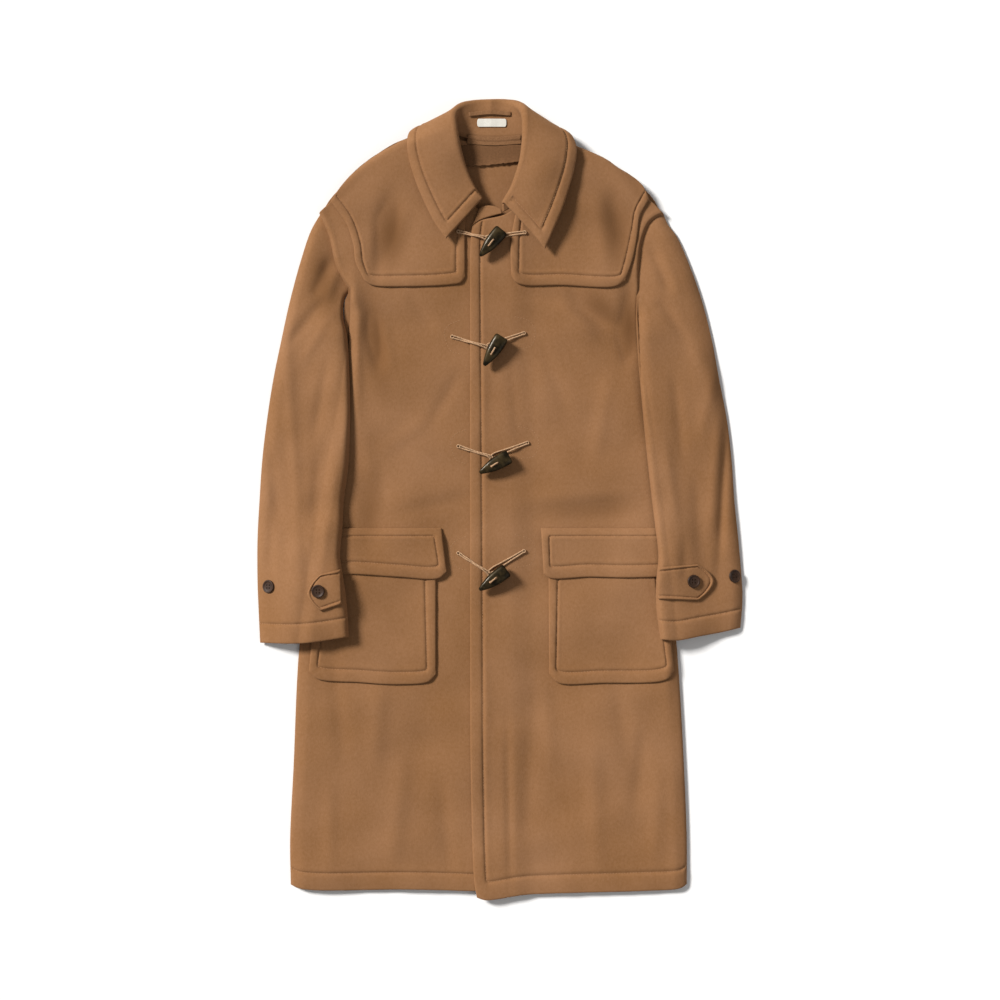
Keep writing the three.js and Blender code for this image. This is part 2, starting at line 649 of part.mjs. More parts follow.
function toSolid(geometry) {
  const key = (i) => ['x', 'y', 'z'].map((axis, k) =>
    Math.round(geometry.attributes.position.array[i * 3 + k] * 1e4)).join();
  const seen = new Map();
  const points = [];
  const index = [];
  const order = geometry.index
    ? Array.from(geometry.index.array)
    : Array.from({ length: geometry.attributes.position.count }, (_, i) => i);
  for (let i = 0; i < order.length; i += 3) {
    const corners = order.slice(i, i + 3).map((v) => {
      const name = key(v);
      if (!seen.has(name)) {
        seen.set(name, points.length / 3);
        points.push(...geometry.attributes.position.array.slice(v * 3, v * 3 + 3));
      }
      return seen.get(name);
    });
    if (new Set(corners).size === 3) index.push(...corners);
  }
  return new Manifold(new Solid({
    numProp: 3, vertProperties: new Float32Array(points), triVerts: new Uint32Array(index),
  }));
}

function fromSolid(solid) {
  const mesh = solid.getMesh();
  const geometry = new THREE.BufferGeometry();
  geometry.setAttribute('position', new THREE.Float32BufferAttribute(mesh.vertProperties, 3));
  geometry.setIndex(Array.from(mesh.triVerts));
  geometry.computeVertexNormals();
  return geometry;
}

function buttonShape() {
  const turned = new THREE.LatheGeometry(BUTTON_PROFILE.map((p) => new THREE.Vector2(p.x, p.y)), 18);
  turned.rotateX(Math.PI / 2);
  let solid = toSolid(turned);
  for (const sx of [-1, 1]) {
    for (const sy of [-1, 1]) {
      const hole = Manifold.cylinder(8, BUTTON_HOLE_R, BUTTON_HOLE_R, 6, true)
        .translate([sx * BUTTON_HOLE_AT, sy * BUTTON_HOLE_AT, 0]);
      solid = solid.subtract(hole);
    }
  }
  return fromSolid(solid);
}

for (const side of ['left', 'right']) {
  BUTTONS[side].forEach((place, i) => {
    const top = i === 0 ? tabTop : sleeveTop;
    const reach = 6;
    const slopeX = (top(place.x + reach, place.y) - top(place.x - reach, place.y)) / (2 * reach);
    const slopeY = (top(place.x, place.y + reach) - top(place.x, place.y - reach)) / (2 * reach);
    const up = new THREE.Vector3(-slopeX, -slopeY, 1).normalize();
    const shape = buttonShape();
    shape.applyQuaternion(new THREE.Quaternion().setFromUnitVectors(new THREE.Vector3(0, 0, 1), up));
    const button = add(`cuff_button_${side}_${i + 1}`, 'button', shape);
    button.position.set(place.x, place.y, top(place.x, place.y) + LAY);
  });
}

// Collar
const ROLL_STEPS = 4;
const LEAF_STEPS = 4;
const COLLAR_SECTIONS = 36;
const collarTop = (x, y) => {
  const yoke = x < YOKE_FRONT.left || x > YOKE_FRONT.right ? yokeTop(x, y) : overTop(x, y);
  return Math.max(yoke, frontTop(x, y));
};

function station(s) {
  const at = clamp(s, 0, 1) * (COLLAR.length - 1);
  const i = clamp(Math.floor(at), 0, COLLAR.length - 2);
  const t = at - i;
  const rows = [i - 1, i, i + 1, i + 2].map((k) => COLLAR[clamp(k, 0, COLLAR.length - 1)]);
  return Object.fromEntries(Object.keys(COLLAR[0]).map((name) => {
    const [a, b, c, d] = rows.map((row) => row[name]);
    const value = 0.5 * (2 * b + (c - a) * t + (2 * a - 5 * b + 4 * c - d) * t * t
      + (3 * b - a - 3 * c + d) * t ** 3);
    return [name, value];
  }));
}

// The wall's middle at a station: neck seam, roll, leaf.
function collarSection(s) {
  const row = station(s);
  const neck = new THREE.Vector3(row.nx, row.ny, row.nz);
  const roll = new THREE.Vector3(row.rx, row.ry, row.rz);
  const above = lerp(collarTop(row.ex, row.ey), 0, clamp(row.under, 0, 1));
  const edge = new THREE.Vector3(row.ex, row.ey, above + COLLAR_WALL / 2 + Math.max(row.ez, 0));
  const out = roll.clone().sub(neck.clone().add(edge).multiplyScalar(0.5)).normalize();
  const side = edge.clone().sub(neck);
  side.addScaledVector(out, -side.dot(out)).normalize();
  const centre = roll.clone().addScaledVector(out, -row.roll);
  // The angle on the roll where a line from a point touches it
  const touch = (point, sign) => {
    const away = point.clone().sub(centre);
    const [ox, sx] = [away.dot(out), away.dot(side)];
    const bearing = Math.atan2(sx, ox);
    return bearing - sign * Math.acos(clamp(row.roll / Math.hypot(ox, sx), -1, 1));
  };
  const from = touch(neck, -1);
  const to = touch(edge, 1);
  const onRoll = (angle) => centre.clone()
    .addScaledVector(out, row.roll * Math.cos(angle))
    .addScaledVector(side, row.roll * Math.sin(angle));
  const points = [neck, neck.clone().lerp(onRoll(from), 0.5)];
  for (const t of steps(ROLL_STEPS)) points.push(onRoll(lerp(from, to, t)));
  const last = points.at(-1);
  const along = edge.clone().sub(last).normalize();
  const lift = side.clone().addScaledVector(along, -side.dot(along)).normalize();
  for (const t of steps(LEAF_STEPS).slice(1)) {
    points.push(last.clone().lerp(edge, t).addScaledVector(lift, row.bow * Math.sin(Math.PI * t)));
  }
  return points;
}

const sections = steps(COLLAR_SECTIONS).map(collarSection);
const collarGrid = sections[0].map((_, v) => sections.map((section) => section[v]));
add('collar', 'wool', shell(collarGrid, COLLAR_WALL));

add('collar_stand', 'wool', panel(sewnOn(STAND_END, steps(5), steps(2)), half(overTop)));

// Inside of the neck, on the stand and the back
function standTop(x, y) {
  const flat = collarGrid.slice(0, 4);
  for (let r = 1; r < flat.length; r += 1) {
    for (let c = 1; c < flat[0].length; c += 1) {
      const corners = [flat[r - 1][c - 1], flat[r - 1][c], flat[r][c], flat[r][c - 1]];
      for (const [i, j, k] of [[0, 1, 2], [0, 2, 3]]) {
        const triangle = new THREE.Triangle(...[i, j, k].map((n) =>
          new THREE.Vector3(corners[n].x, corners[n].y, 0)));
        const weights = triangle.getBarycoord(new THREE.Vector3(x, y, 0), new THREE.Vector3());
        if (weights && Math.min(weights.x, weights.y, weights.z) >= -1e-6) {
          return corners[i].z * weights.x + corners[j].z * weights.y + corners[k].z * weights.z
            + COLLAR_WALL / 2 + SEAM;
        }
      }
    }
  }
  return 0;
}
const neckTop = (x, y) => Math.max(standTop(x, y), backTop(x, y));

function strip(name, finish, points, width, wall, lift, count = 8) {
  const line = curve(points);
  const edges = {
    bottom: beside(line, -width / 2),
    top: beside(line, width / 2),
    us: steps(count),
    vs: steps(2),
  };
  edges.left = curve([edges.bottom(0), edges.top(0)]);
  edges.right = curve([edges.bottom(1), edges.top(1)]);
  add(name, finish, panel(edges, (x, y) => neckTop(x, y) + lift(x) + wall / 2, wall));
}
strip('neck_tape', 'tape', outline([-46, 529], [-9, 527], [28, 529]), 13, TAPE, () => LAY + SEAM);
strip('neck_label', 'label', outline([-33, 554], [9, 554]), 12, LABEL, () => LAY);
strip('hanger_loop', 'tape', outline([-46, 566], [-14, 569], [16, 567]), 6, TAPE,
  (x) => LAY + HANGER_RISE * rounded(1 - Math.abs(x + 15) / 31));
add('neck_facing', 'lining', panel({
  bottom: curve(outline([-66, 498], [-51, 491], [-10, 492], [29, 497], [46, 500])),
  top: curve(outline([-64, 517], [-46, 521.5], [-9, 519.5], [30, 521.5], [44, 517])),
  left: curve(outline([-66, 498], [-64, 517])),
  right: curve(outline([46, 500], [44, 517])),
  us: steps(12),
  vs: steps(3),
}, (x, y) => backTop(x, y) + LAY + FACING / 2, FACING));

// Toggles with their cords, and the loops that they go through
const clothTop = (x, y) => (y > YOKE_HEM - 2 ? collarTop(x, y) : frontTop(x, y));
const cordFloor = (x, y) =>
  Math.max(...[[0, 0], [4, 0], [-4, 0], [0, 4], [0, -4]].map(([dx, dy]) => clothTop(x + dx, y + dy)));
const CORD_AT = CORD / 2 + LAY * 0.75;
const OVER_CORD = CORD + LAY / 2;

function cord(name, points, count) {
  const ring = steps(CORD_SIDES).slice(0, -1).map((t) => new THREE.Vector2(
    Math.cos(2 * Math.PI * t), Math.sin(2 * Math.PI * t),
  ).multiplyScalar(CORD / 2));
  const path = new THREE.CatmullRomCurve3(points, false, 'centripetal');
  add(name, 'cord', new THREE.ExtrudeGeometry(new THREE.Shape(ring), {
    steps: count, extrudePath: path,
  }));
}

// Toggle: share of its length, width, thickness
const TOGGLE_RINGS = table(['at', 'width', 'thick'], [
  [-0.5, 0.3, 0.36], [-0.44, 0.46, 0.55], [-0.26, 0.72, 0.8], [0, 0.94, 0.97], [0.26, 1, 1],
  [0.44, 0.92, 0.92], [0.5, 0.74, 0.72],
]);
function toggleShape() {
  const sides = 12;
  const points = [];
  const index = [];
  for (const ring of TOGGLE_RINGS) {
    for (let k = 0; k < sides; k += 1) {
      const angle = (2 * Math.PI * k) / sides;
      points.push(ring.at * TOGGLE_LENGTH, ring.width * TOGGLE_WIDTH * Math.cos(angle) / 2,
        ring.thick * TOGGLE_THICK * Math.sin(angle) / 2);
    }
  }
  const last = (TOGGLE_RINGS.length - 1) * sides;
  for (let r = 0; r < last; r += sides) {
    for (let k = 0; k < sides; k += 1) {
      const next = (k + 1) % sides;
      index.push(r + k, r + next, r + sides + next, r + k, r + sides + next, r + sides + k);
    }
  }
  for (let k = 1; k < sides - 1; k += 1) {
    index.push(0, k + 1, k);
    index.push(last, last + k, last + k + 1);
  }
  const geometry = new THREE.BufferGeometry();
  geometry.setAttribute('position', new THREE.Float32BufferAttribute(points, 3));
  geometry.setIndex(index);
  let solid = toSolid(geometry);
  for (const end of [-1, 1]) {
    solid = solid.subtract(Manifold.cylinder(2 * TOGGLE_THICK, HOLE_R, HOLE_R, 8, true)
      .translate([end * HOLE_PITCH / 2, 0, 0]));
  }
  return fromSolid(solid);
}

FASTENINGS.forEach((row, i) => {
  const axis = new THREE.Vector3(Math.cos(THREE.MathUtils.degToRad(row.turn)),
    Math.sin(THREE.MathUtils.degToRad(row.turn)), 0);
  const crosswise = new THREE.Vector3(-axis.y, axis.x, 0);
  const middle = new THREE.Vector3(row.x, row.y, 0);
  const floor = Math.max(...[-0.5, -0.25, 0, 0.25, 0.5].map((share) => {
    const p = middle.clone().addScaledVector(axis, share * TOGGLE_LENGTH);
    return cordFloor(p.x, p.y);
  }));
  const loopAt = floor + CORD_AT;
  const cordAt = loopAt + OVER_CORD;
  const toggleAt = cordAt + CORD / 2 + LAY / 2 + TOGGLE_THICK / 2;
  const bight = middle.clone().addScaledVector(crosswise, BIGHT_OUT);
  const shape = toggleShape();
  shape.rotateZ(THREE.MathUtils.degToRad(row.turn));
  const toggle = add(`toggle_${i + 1}`, 'horn', shape);
  toggle.position.set(row.x, row.y, toggleAt);

  const above = (x, y, least = 0) => Math.max(cordFloor(x, y) + CORD_AT, least);
  const strand = (end) => {
    const hole = middle.clone().addScaledVector(axis, end * HOLE_PITCH / 2);
    const left = new THREE.Vector3(row.lx, row.ly + end * STRAND_GAP / 2, 0);
    const way = [0, 0.15, 0.3, 0.45, 0.62].map((t) => {
      const p = left.clone().lerp(bight, t);
      p.z = above(p.x, p.y, t > 0.5 ? cordAt : 0);
      return p;
    });
    const crossing = bight.clone().addScaledVector(axis, end * STRAND_GAP / 2);
    crossing.z = cordAt;
    const bend = bight.clone().lerp(hole, 0.66).setZ(cordAt - 0.2);
    return [...way, crossing, bend,
      hole.clone().setZ(cordAt + 1.8), hole.clone().setZ(toggleAt),
      hole.clone().setZ(toggleAt + TOGGLE_THICK / 2 + 0.6)];
  };
  const crown = middle.clone().setZ(toggleAt + TOGGLE_THICK / 2 + CORD / 2 + 1.2);
  cord(`toggle_cord_${i + 1}`, [...strand(1), crown, ...strand(-1).reverse()], CORD_STEPS);

  const right = new THREE.Vector3(row.rx, row.ry, 0);
  const run = bight.clone().sub(right).normalize();
  const wide = new THREE.Vector3(-run.y, run.x, 0);
  const leg = (end) => [[0, 0.8], [0.18, 0.9], [0.36, 1], [0.6, 1.3], [0.88, 1.5]].map(([t, spread]) => {
    const p = right.clone().lerp(bight, t).addScaledVector(wide, end * spread * STRAND_GAP / 2);
    p.z = above(p.x, p.y, t < 0.25 ? 0 : loopAt);
    return p;
  });
  const tip = bight.clone().addScaledVector(run, 1.5).setZ(loopAt);
  cord(`toggle_loop_${i + 1}`, [...leg(1), tip, ...leg(-1).reverse()], LOOP_STEPS);
});

export default group;
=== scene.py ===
# %% [markdown]
# # A duffle coat laid flat
# The coat lies on its back on a pale floor and the camera looks straight down at it. The
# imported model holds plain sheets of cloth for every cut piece. This lesson lays a finer
# sheet on each of them: the same outline and the same height, with rolled edges, rows of
# stitches, soft creases and a napped wool finish.

# %% Load the frame
import math

import bpy
import numpy as np
from mathutils import Matrix, Vector


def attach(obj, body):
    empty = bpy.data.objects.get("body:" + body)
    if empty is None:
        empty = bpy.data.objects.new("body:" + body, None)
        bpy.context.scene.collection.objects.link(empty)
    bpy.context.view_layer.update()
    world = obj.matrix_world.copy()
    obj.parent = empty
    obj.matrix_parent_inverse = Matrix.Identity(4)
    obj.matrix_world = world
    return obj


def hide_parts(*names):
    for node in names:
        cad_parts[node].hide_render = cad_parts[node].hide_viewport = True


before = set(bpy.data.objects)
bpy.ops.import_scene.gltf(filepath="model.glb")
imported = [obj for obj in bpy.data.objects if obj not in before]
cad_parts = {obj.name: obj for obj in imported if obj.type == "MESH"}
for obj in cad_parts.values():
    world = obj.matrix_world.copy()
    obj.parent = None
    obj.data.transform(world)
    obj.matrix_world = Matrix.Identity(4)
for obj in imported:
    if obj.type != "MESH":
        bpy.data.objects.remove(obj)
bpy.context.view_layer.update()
MM = 0.001


# %% [markdown]
# ## Camera, light and floor
# The photograph is taken from straight above, so the camera looks down -Z with the collar
# towards the top of the picture. A long lens keeps the outline as flat as the photo's. One
# soft lamp from the upper left gives the shadows beside the sleeves and the collar, and the
# pale world fills them.

# %% Camera
PIXEL = 1.47 * MM
PICTURE = 1000
LENS, SENSOR = 100, 36
CLOTH_LEVEL = 10 * MM

camera_data = bpy.data.cameras.new("camera")
camera_data.lens = LENS
camera_data.sensor_width = SENSOR
camera = bpy.data.objects.new("camera", camera_data)
camera.location = (0, 0, CLOTH_LEVEL + PIXEL * PICTURE * LENS / SENSOR)
bpy.context.collection.objects.link(camera)
bpy.context.scene.camera = camera
print(f"the camera hangs {camera.location.z:.2f} m above the floor")


# %% Lamps and world
KEY_WAY, FILL_PLACE = Vector((2.3, -1.5, -2.1)), Vector((2.4, -1.2, 3.0))


def lamp(name, kind, power, colour, place, way, **more):
    data = bpy.data.lights.new(name, kind)
    data.energy, data.color = power, colour
    for key, value in more.items():
        setattr(data, key, value)
    obj = bpy.data.objects.new(name, data)
    obj.location = place
    obj.rotation_euler = way.to_track_quat("-Z", "Y").to_euler()
    bpy.context.collection.objects.link(obj)
    print(f"{name}: {kind.lower()}, power {power}")


lamp("key", "SUN", 4.9, (1, 0.985, 0.965), (0, 0, 0), KEY_WAY, angle=math.radians(14))
lamp("fill", "AREA", 16, (0.97, 0.985, 1), FILL_PLACE, -FILL_PLACE, shape="DISK", size=3.0)

world = bpy.data.worlds.new("studio")
world.use_nodes = True
sky = world.node_tree.nodes["Background"].inputs
sky["Color"].default_value = (1, 1, 1, 1)
sky["Strength"].default_value = 0.27
bpy.context.scene.world = world
bpy.context.scene.view_settings.view_transform = "Standard"


# %% [markdown]
# ## Curves and tables
# Every outline is a short table in millimetres, a row for each turn of the edge. A smooth
# curve through the rows gives the edge, and a position on it is a share of its length.
# Numpy works all of a sheet's points out at once.

# %% Curve helpers
CURVE_STEPS = 40


def curve(points):
    """A smooth line through points; it takes shares of its length and gives x, y."""
    p = np.array(points, float)
    p = np.vstack([2 * p[0] - p[1], p, 2 * p[-1] - p[-2]])
    gaps = np.maximum(np.linalg.norm(np.diff(p, axis=0), axis=1), 1e-4) ** 0.5
    fine = np.linspace(0, 1, CURVE_STEPS)[:, None]
    parts = []
    for i in range(1, len(p) - 2):
        g0, g1, g2 = gaps[i - 1], gaps[i], gaps[i + 1]
        start = (p[i] - p[i - 1]) / g0 - (p[i + 1] - p[i - 1]) / (g0 + g1) + (p[i + 1] - p[i]) / g1
        end = (p[i + 1] - p[i]) / g1 - (p[i + 2] - p[i]) / (g1 + g2) + (p[i + 2] - p[i + 1]) / g2
        start, end = start * g1, end * g1
        parts.append(
            p[i] + start * fine + (-3 * p[i] + 3 * p[i + 1] - 2 * start - end) * fine**2
            + (2 * p[i] - 2 * p[i + 1] + start + end) * fine**3
        )
    line = np.vstack(parts)
    run = np.concatenate([[0], np.cumsum(np.linalg.norm(np.diff(line, axis=0), axis=1))])
    run /= run[-1]
    return lambda t: np.stack([np.interp(t, run, line[:, k]) for k in range(p.shape[1])], -1)


def joined(first, second, share):
    """Two curves as one: the first takes up a share of the way."""
    def line(t):
        t = np.asarray(t, float)
        early = first(np.clip(t / share, 0, 1))
        late = second(np.clip((t - share) / (1 - share), 0, 1))
        return np.where((t <= share)[..., None], early, late)

    return line


def backwards(line):
    return lambda t: line(1 - np.asarray(t, float))


def beside(line, gap):
    """The same curve, moved sideways."""
    def moved(t):
        t = np.asarray(t, float)
        way = line(np.minimum(t + 0.02, 1)) - line(np.maximum(t - 0.02, 0))
        way /= np.linalg.norm(way, axis=-1, keepdims=True)
        return line(t) + gap * np.stack([-way[..., 1], way[..., 0]], -1)

    return moved


def smooth(low, high, value):
    t = np.clip((value - low) / (high - low), 0, 1)
    return t * t * (3 - 2 * t)


def rounded(share):
    """Rises from 0 to 1 as a quarter of a circle does."""
    return np.sqrt(1 - (1 - np.clip(share, 0, 1)) ** 2)


def across(points, y):
    """Where an edge that runs up the coat lies at the height y."""
    p = np.array(points, float)
    order = np.argsort(p[:, 1])
    return np.interp(y, p[order, 1], p[order, 0])


def distance(points, x, y):
    """How far a point is from a line of straight pieces."""
    p = np.array(points, float)
    nearest = np.full(np.shape(x), np.inf)
    for a, b in zip(p[:-1], p[1:]):
        way = b - a
        t = np.clip(((x - a[0]) * way[0] + (y - a[1]) * way[1]) / (way @ way), 0, 1)
        nearest = np.minimum(nearest, np.hypot(x - a[0] - t * way[0], y - a[1] - t * way[1]))
    return nearest


# %% [markdown]
# ## The coat's cut
# These tables are the outlines of the pieces as they lie. The two sides differ, because a
# real coat never lies quite straight.

# %% Thicknesses and levels, millimetres
WOOL, LAY = 3.0, 0.8
LAYER = WOOL + LAY
COLLAR_WALL = 4.5
OVER_EDGE, UNDER_EDGE, LAP_RUN = -44, 10, 40
YOKE_HEM, YOKE_RUN, ARMPIT = 315, 95, 309
YOKE_FRONT = {"left": -51, "right": 16}
FLAP_TOP, FLAP_HEM, BAG_TOP = -41, -115, -59
NECK = (-10, 482)
NECK_INSET, YOKE_NECK_INSET = 5, 7.5
SHOULDER_RUN, TUCK, ARM_RAMP, FOLD_RUN, ARM_CLOSES = 9, 11, 66, 18, 40
TUCK_WAY = (0.6, -0.8)
CUFF_LIFT, CUFF_SETTLED = 9, (-170, -10)
BODY_REST, BODY_MAX, SLEEVE_REST, SLEEVE_MAX = 1.9, 3.9, 3.2, 3.9
SEAM_LAP, LIP, ARM_SHARE = 3.5, 1.5, 0.14

# %% Outlines, millimetres

SIDE = {
    "left": [(-308, -566), (-309, -500), (-304, -394), (-295, -212), (-280, -110), (-263, 0),
             (-246, 90), (-234, 150), (-225, 225), (-221, 265), (-220, ARMPIT)],
    "right": [(275, -565), (275, -500), (271, -394), (260, -212), (249, -110), (237, 0),
              (224, 100), (212, 180), (203.4, 232), (202, 262), (202.2, 294), (204, ARMPIT)],
    "back left": [(-308, -566), (-309, -500), (-304, -394), (-295, -212), (-280, -110), (-263, 0),
                  (-246, 90), (-234, 150), (-226, 225), (-229, 262), (-227.2, 297), (-220, ARMPIT)],
}
ARMHOLE = {
    "left": [(-220, ARMPIT), (-228, 320), (-241, 344), (-251, 387), (-259, 407), (-266, 422)],
    "right": [(204, ARMPIT), (204, 338), (207, 372), (212, 391), (219, 406), (229, 415),
              (241, 420)],
}
SHOULDER = {
    "left": [(-266, 422), (-250, 444), (-232, 463), (-215, 482), (-197, 497), (-179, 509),
             (-144, 528), (-90, 546)],
    "right": [(241, 420), (228, 441), (209, 462), (191, 478), (173, 489), (156, 501),
              (113, 520), (69, 541)],
}
SLEEVE_OUTER = {
    "left": [(-266, 422), (-278, 397), (-293, 353), (-309, 294), (-322, 235), (-334, 176),
             (-343, 118), (-350, 59), (-354, 0), (-357, -59), (-357, -118), (-356, -147),
             (-353, -210)],
    "right": [(241, 420), (247, 406), (260, 388), (276, 353), (297, 294), (312, 235),
              (323, 176), (334, 118), (341, 59), (345, 0), (351, -59), (356, -118),
              (357, -147), (354, -188)],
}
SLEEVE_INNER = {
    "left": [(-220, ARMPIT), (-228, 298), (-230, 265), (-225, 243), (-222, 203), (-220, 147),
             (-220, 103), (-223, 44), (-229, 0), (-231, -41), (-234, -82), (-231, -103),
             (-225, -143), (-221, -200)],
    "right": [(204, ARMPIT), (203.8, 294), (203.4, 265), (204.4, 235), (208, 147), (215, 73),
              (223, 0), (228, -43), (232, -82), (229, -118), (229, -156), (235, -204)],
}
CUFF = {
    "left": [(-353, -210), (-297, -210), (-265, -207), (-221, -200)],
    "right": [(354, -188), (323, -195), (294, -200), (259, -206), (235, -204)],
}
HEM = {
    "under": [(-308, -566), (-292, -572), (-126, -573), (-44, -575), (UNDER_EDGE, -576)],
    "over": [(-34, -584), (-21, -588), (32, -581), (68, -579), (138, -577), (210, -575),
             (266, -571), (275, -565)],
    "back": [(-308, -566), (-292, -570), (-126, -570), (100, -570), (266, -570), (275, -565)],
}
OVER_FRONT_EDGE = [(-34, -584), (-38, -560), (-43, -400), (OVER_EDGE, -200), (OVER_EDGE, 250),
                   (-43.5, 375), (-41, 402)]
STAND_END = {
    "bottom": [(-40.5, 403), (-28, 411.2), (-8, 417.6), (3, 420.4)],
    "top": [(-31, 427), (-24, 431.5), (-8, 431), (2, 426)],
}

print(f"hem: {SIDE['right'][0][0] - SIDE['left'][0][0]} mm,",
      f"shoulders: {SHOULDER['right'][0][0] - SHOULDER['left'][0][0]} mm")

# %% Creases: middle, heading in degrees, length, width, rise
BODY_FOLDS = [
    (-206, 230, 92, 190, 24, 2.0), (-178, 372, 82, 110, 34, -1.5), (-178, 240, 100, 90, 30, -1.4),
    (-120, 60, 78, 230, 46, 1.1), (-190, -20, 95, 120, 34, -0.9), (-215, -380, 92, 260, 46, 1.3),
    (-110, -420, 88, 240, 44, -1.1), (-60, -330, 91, 300, 30, 0.9), (172, 408, 100, 90, 36, -1.5),
    (186, 230, 84, 100, 28, -1.4), (128, 283, 135, 90, 22, -1.5), (104, 262, 135, 90, 24, 1.2),
    (125, -14, 4, 170, 26, -1.3), (96, 120, 96, 200, 46, 1.2), (60, -380, 92, 280, 44, -1.1),
    (140, -430, 90, 260, 46, 1.3), (215, -400, 86, 240, 40, -1.0),
]
SLEEVE_FOLDS = [
    (-262, 330, 62, 90, 24, -1.3), (-285, 262, 50, 110, 26, -1.2), (-303, 80, 94, 330, 24, 0.7),
    (-262, 60, 84, 200, 22, -1.4), (-330, -60, 90, 160, 22, -1.2), (-290, -60, 100, 130, 24, -1.0),
    (236, 340, 110, 90, 24, -1.2), (262, 262, 128, 110, 26, -1.2), (300, 120, 80, 240, 26, 0.7),
    (326, -10, 86, 220, 18, -1.9), (262, 20, 98, 180, 22, -1.2), (290, -80, 84, 120, 24, -1.0),
]


def relief(folds, x, y):
    """The height of all the folds together: each fades along and across its length."""
    height = np.zeros(np.shape(x))
    for fx, fy, turn, length, width, rise in folds:
        c, s = math.cos(math.radians(turn)), math.sin(math.radians(turn))
        along = ((x - fx) * c + (y - fy) * s) / (length / 2)
        off = ((y - fy) * c - (x - fx) * s) / width
        height += rise * np.exp(-off * off) * np.exp(-(along**4))
    return height


# %% [markdown]
# ## Heights
# Each layer lies on the one under it. These functions add the layers up from the floor:
# the back, the fronts with the fullness between them, the lap where one front covers the
# other, the yokes, the pockets, and the sleeves that climb from the floor onto the body.

# %% Heights of the layers
def sided(x, left, right):
    return np.where(x < NECK[0], left, right)


def inside(x, y):
    """How far a point is inside the body's sides."""
    return sided(x, x - across(SIDE["left"], y), across(SIDE["right"], y) - x)


def from_armhole(x, y):
    return sided(x, distance(ARMHOLE["left"], x, y), distance(ARMHOLE["right"], x, y))


def from_outer(x, y):
    return sided(x, x - across(SLEEVE_OUTER["left"], y), across(SLEEVE_OUTER["right"], y) - x)


def from_inner(x, y):
    return sided(x, across(SLEEVE_INNER["left"], y) - x, x - across(SLEEVE_INNER["right"], y))


def leaf_lift(x, y):
    """The collar's leaf goes under the back at the shoulders and holds it up."""
    return ((COLLAR_WALL + LAY) * smooth(395, 500, y) * smooth(-235, -140, x)
            * (1 - smooth(118, 213, x)))


def back_lift(x, y):
    return leaf_lift(x, y) + LAYER * smooth(YOKE_HEM - YOKE_RUN, YOKE_HEM - 18, y)


def back_top(x, y):
    return back_lift(x, y) + WOOL


def body_loft(x, y):
    edge = np.where(y < ARMPIT, inside(x, y), from_armhole(x, y))
    fade = rounded(edge / FOLD_RUN) * smooth(-590, -540, y) * (1 - smooth(400, 470, y))
    height = (BODY_REST - LAY + relief(BODY_FOLDS, x, y)) * fade
    return LAY + np.clip(height, 0, BODY_MAX - LAY)


def under_top(x, y):
    return back_top(x, y) + body_loft(x, y) + WOOL


def over_top(x, y):
    return under_top(x, y) + LAYER * (1 - smooth(UNDER_EDGE + 3, UNDER_EDGE + 3 + LAP_RUN, x))


def front_top(x, y):
    return np.where(x < OVER_EDGE - 2, under_top(x, y), over_top(x, y))


def yoke_top(x, y):
    reach = sided(x, distance(SHOULDER["left"], x, y), distance(SHOULDER["right"], x, y))
    drop = (1 - rounded(reach / SHOULDER_RUN)) * 2 * LAYER
    drop = drop * smooth(-249, -212, x) * (1 - smooth(182, 219, x))
    return sided(x, under_top(x, y), over_top(x, y)) + LAYER - drop


def bag_top(x, y):
    return front_top(x, y) + LAYER


def flap_top(x, y):
    return front_top(x, y) + LAYER + LAYER * (1 - smooth(BAG_TOP + 1, FLAP_TOP - 1, y))


def stack(x, y):
    bag = LAYER * (1 - smooth(BAG_TOP + 4, BAG_TOP + 44, y))
    flap = LAYER * smooth(FLAP_HEM - 42, FLAP_HEM - 4, y) * (1 - smooth(FLAP_TOP + 3, FLAP_TOP + 43, y))
    return under_top(x, y) + bag + flap


def on_body(x, y):
    """How far a sleeve has climbed onto the body: 0 on the floor, 1 on top."""
    return smooth(-5 - ARM_RAMP, -5, inside(x, y)) * (1 - smooth(236, 288, y))


def cuff_lift(x, y):
    """The left cuff has not settled: it stands off the pocket."""
    return CUFF_LIFT * (1 - smooth(*CUFF_SETTLED, y)) * sided(x, 1, 0)


def sleeve_floor(x, y):
    return on_body(x, y) * (stack(x, y) + LAY + cuff_lift(x, y))


def arm_closed(y):
    """0 where a sleeve is free of the body, 1 from the armpit up."""
    return smooth(ARMPIT - ARM_CLOSES, ARMPIT, y)


def sleeve_loft(x, y):
    inner = np.where(y < ARMPIT, np.abs(from_inner(x, y)) + FOLD_RUN * arm_closed(y), FOLD_RUN)
    fade = rounded(np.minimum(np.abs(from_outer(x, y)), inner) / FOLD_RUN)
    height = (SLEEVE_REST - LAY + relief(SLEEVE_FOLDS, x, y)) * fade
    return LAY + np.clip(height, 0, SLEEVE_MAX - LAY)


print(f"the lapped front lies {float(over_top(0.0, 0.0)):.1f} mm above the floor at its middle")


# %% [markdown]
# ## A sheet of cloth
# A piece is a net of threads between its four edges. Near an edge the threads lie closer,
# so that the edge can be rolled and the row of stitches can sink in. Both faces and the rim
# make one closed thin shell.

# %% Nets and shells
def net(edges, u, v):
    """The points at shares u and v of the way across and up, between four edge curves."""
    across_u, up_v = u[..., None], v[..., None]
    low = (1 - across_u) * edges["bottom"](0.0) + across_u * edges["bottom"](1.0)
    high = (1 - across_u) * edges["top"](0.0) + across_u * edges["top"](1.0)
    return ((1 - up_v) * (edges["bottom"](u) - low) + up_v * (edges["top"](u) - high)
            + (1 - across_u) * edges["left"](v) + across_u * edges["right"](v))


def run_length(points, axis):
    return np.linalg.norm(np.diff(points, axis=axis), axis=-1).sum(axis=axis)


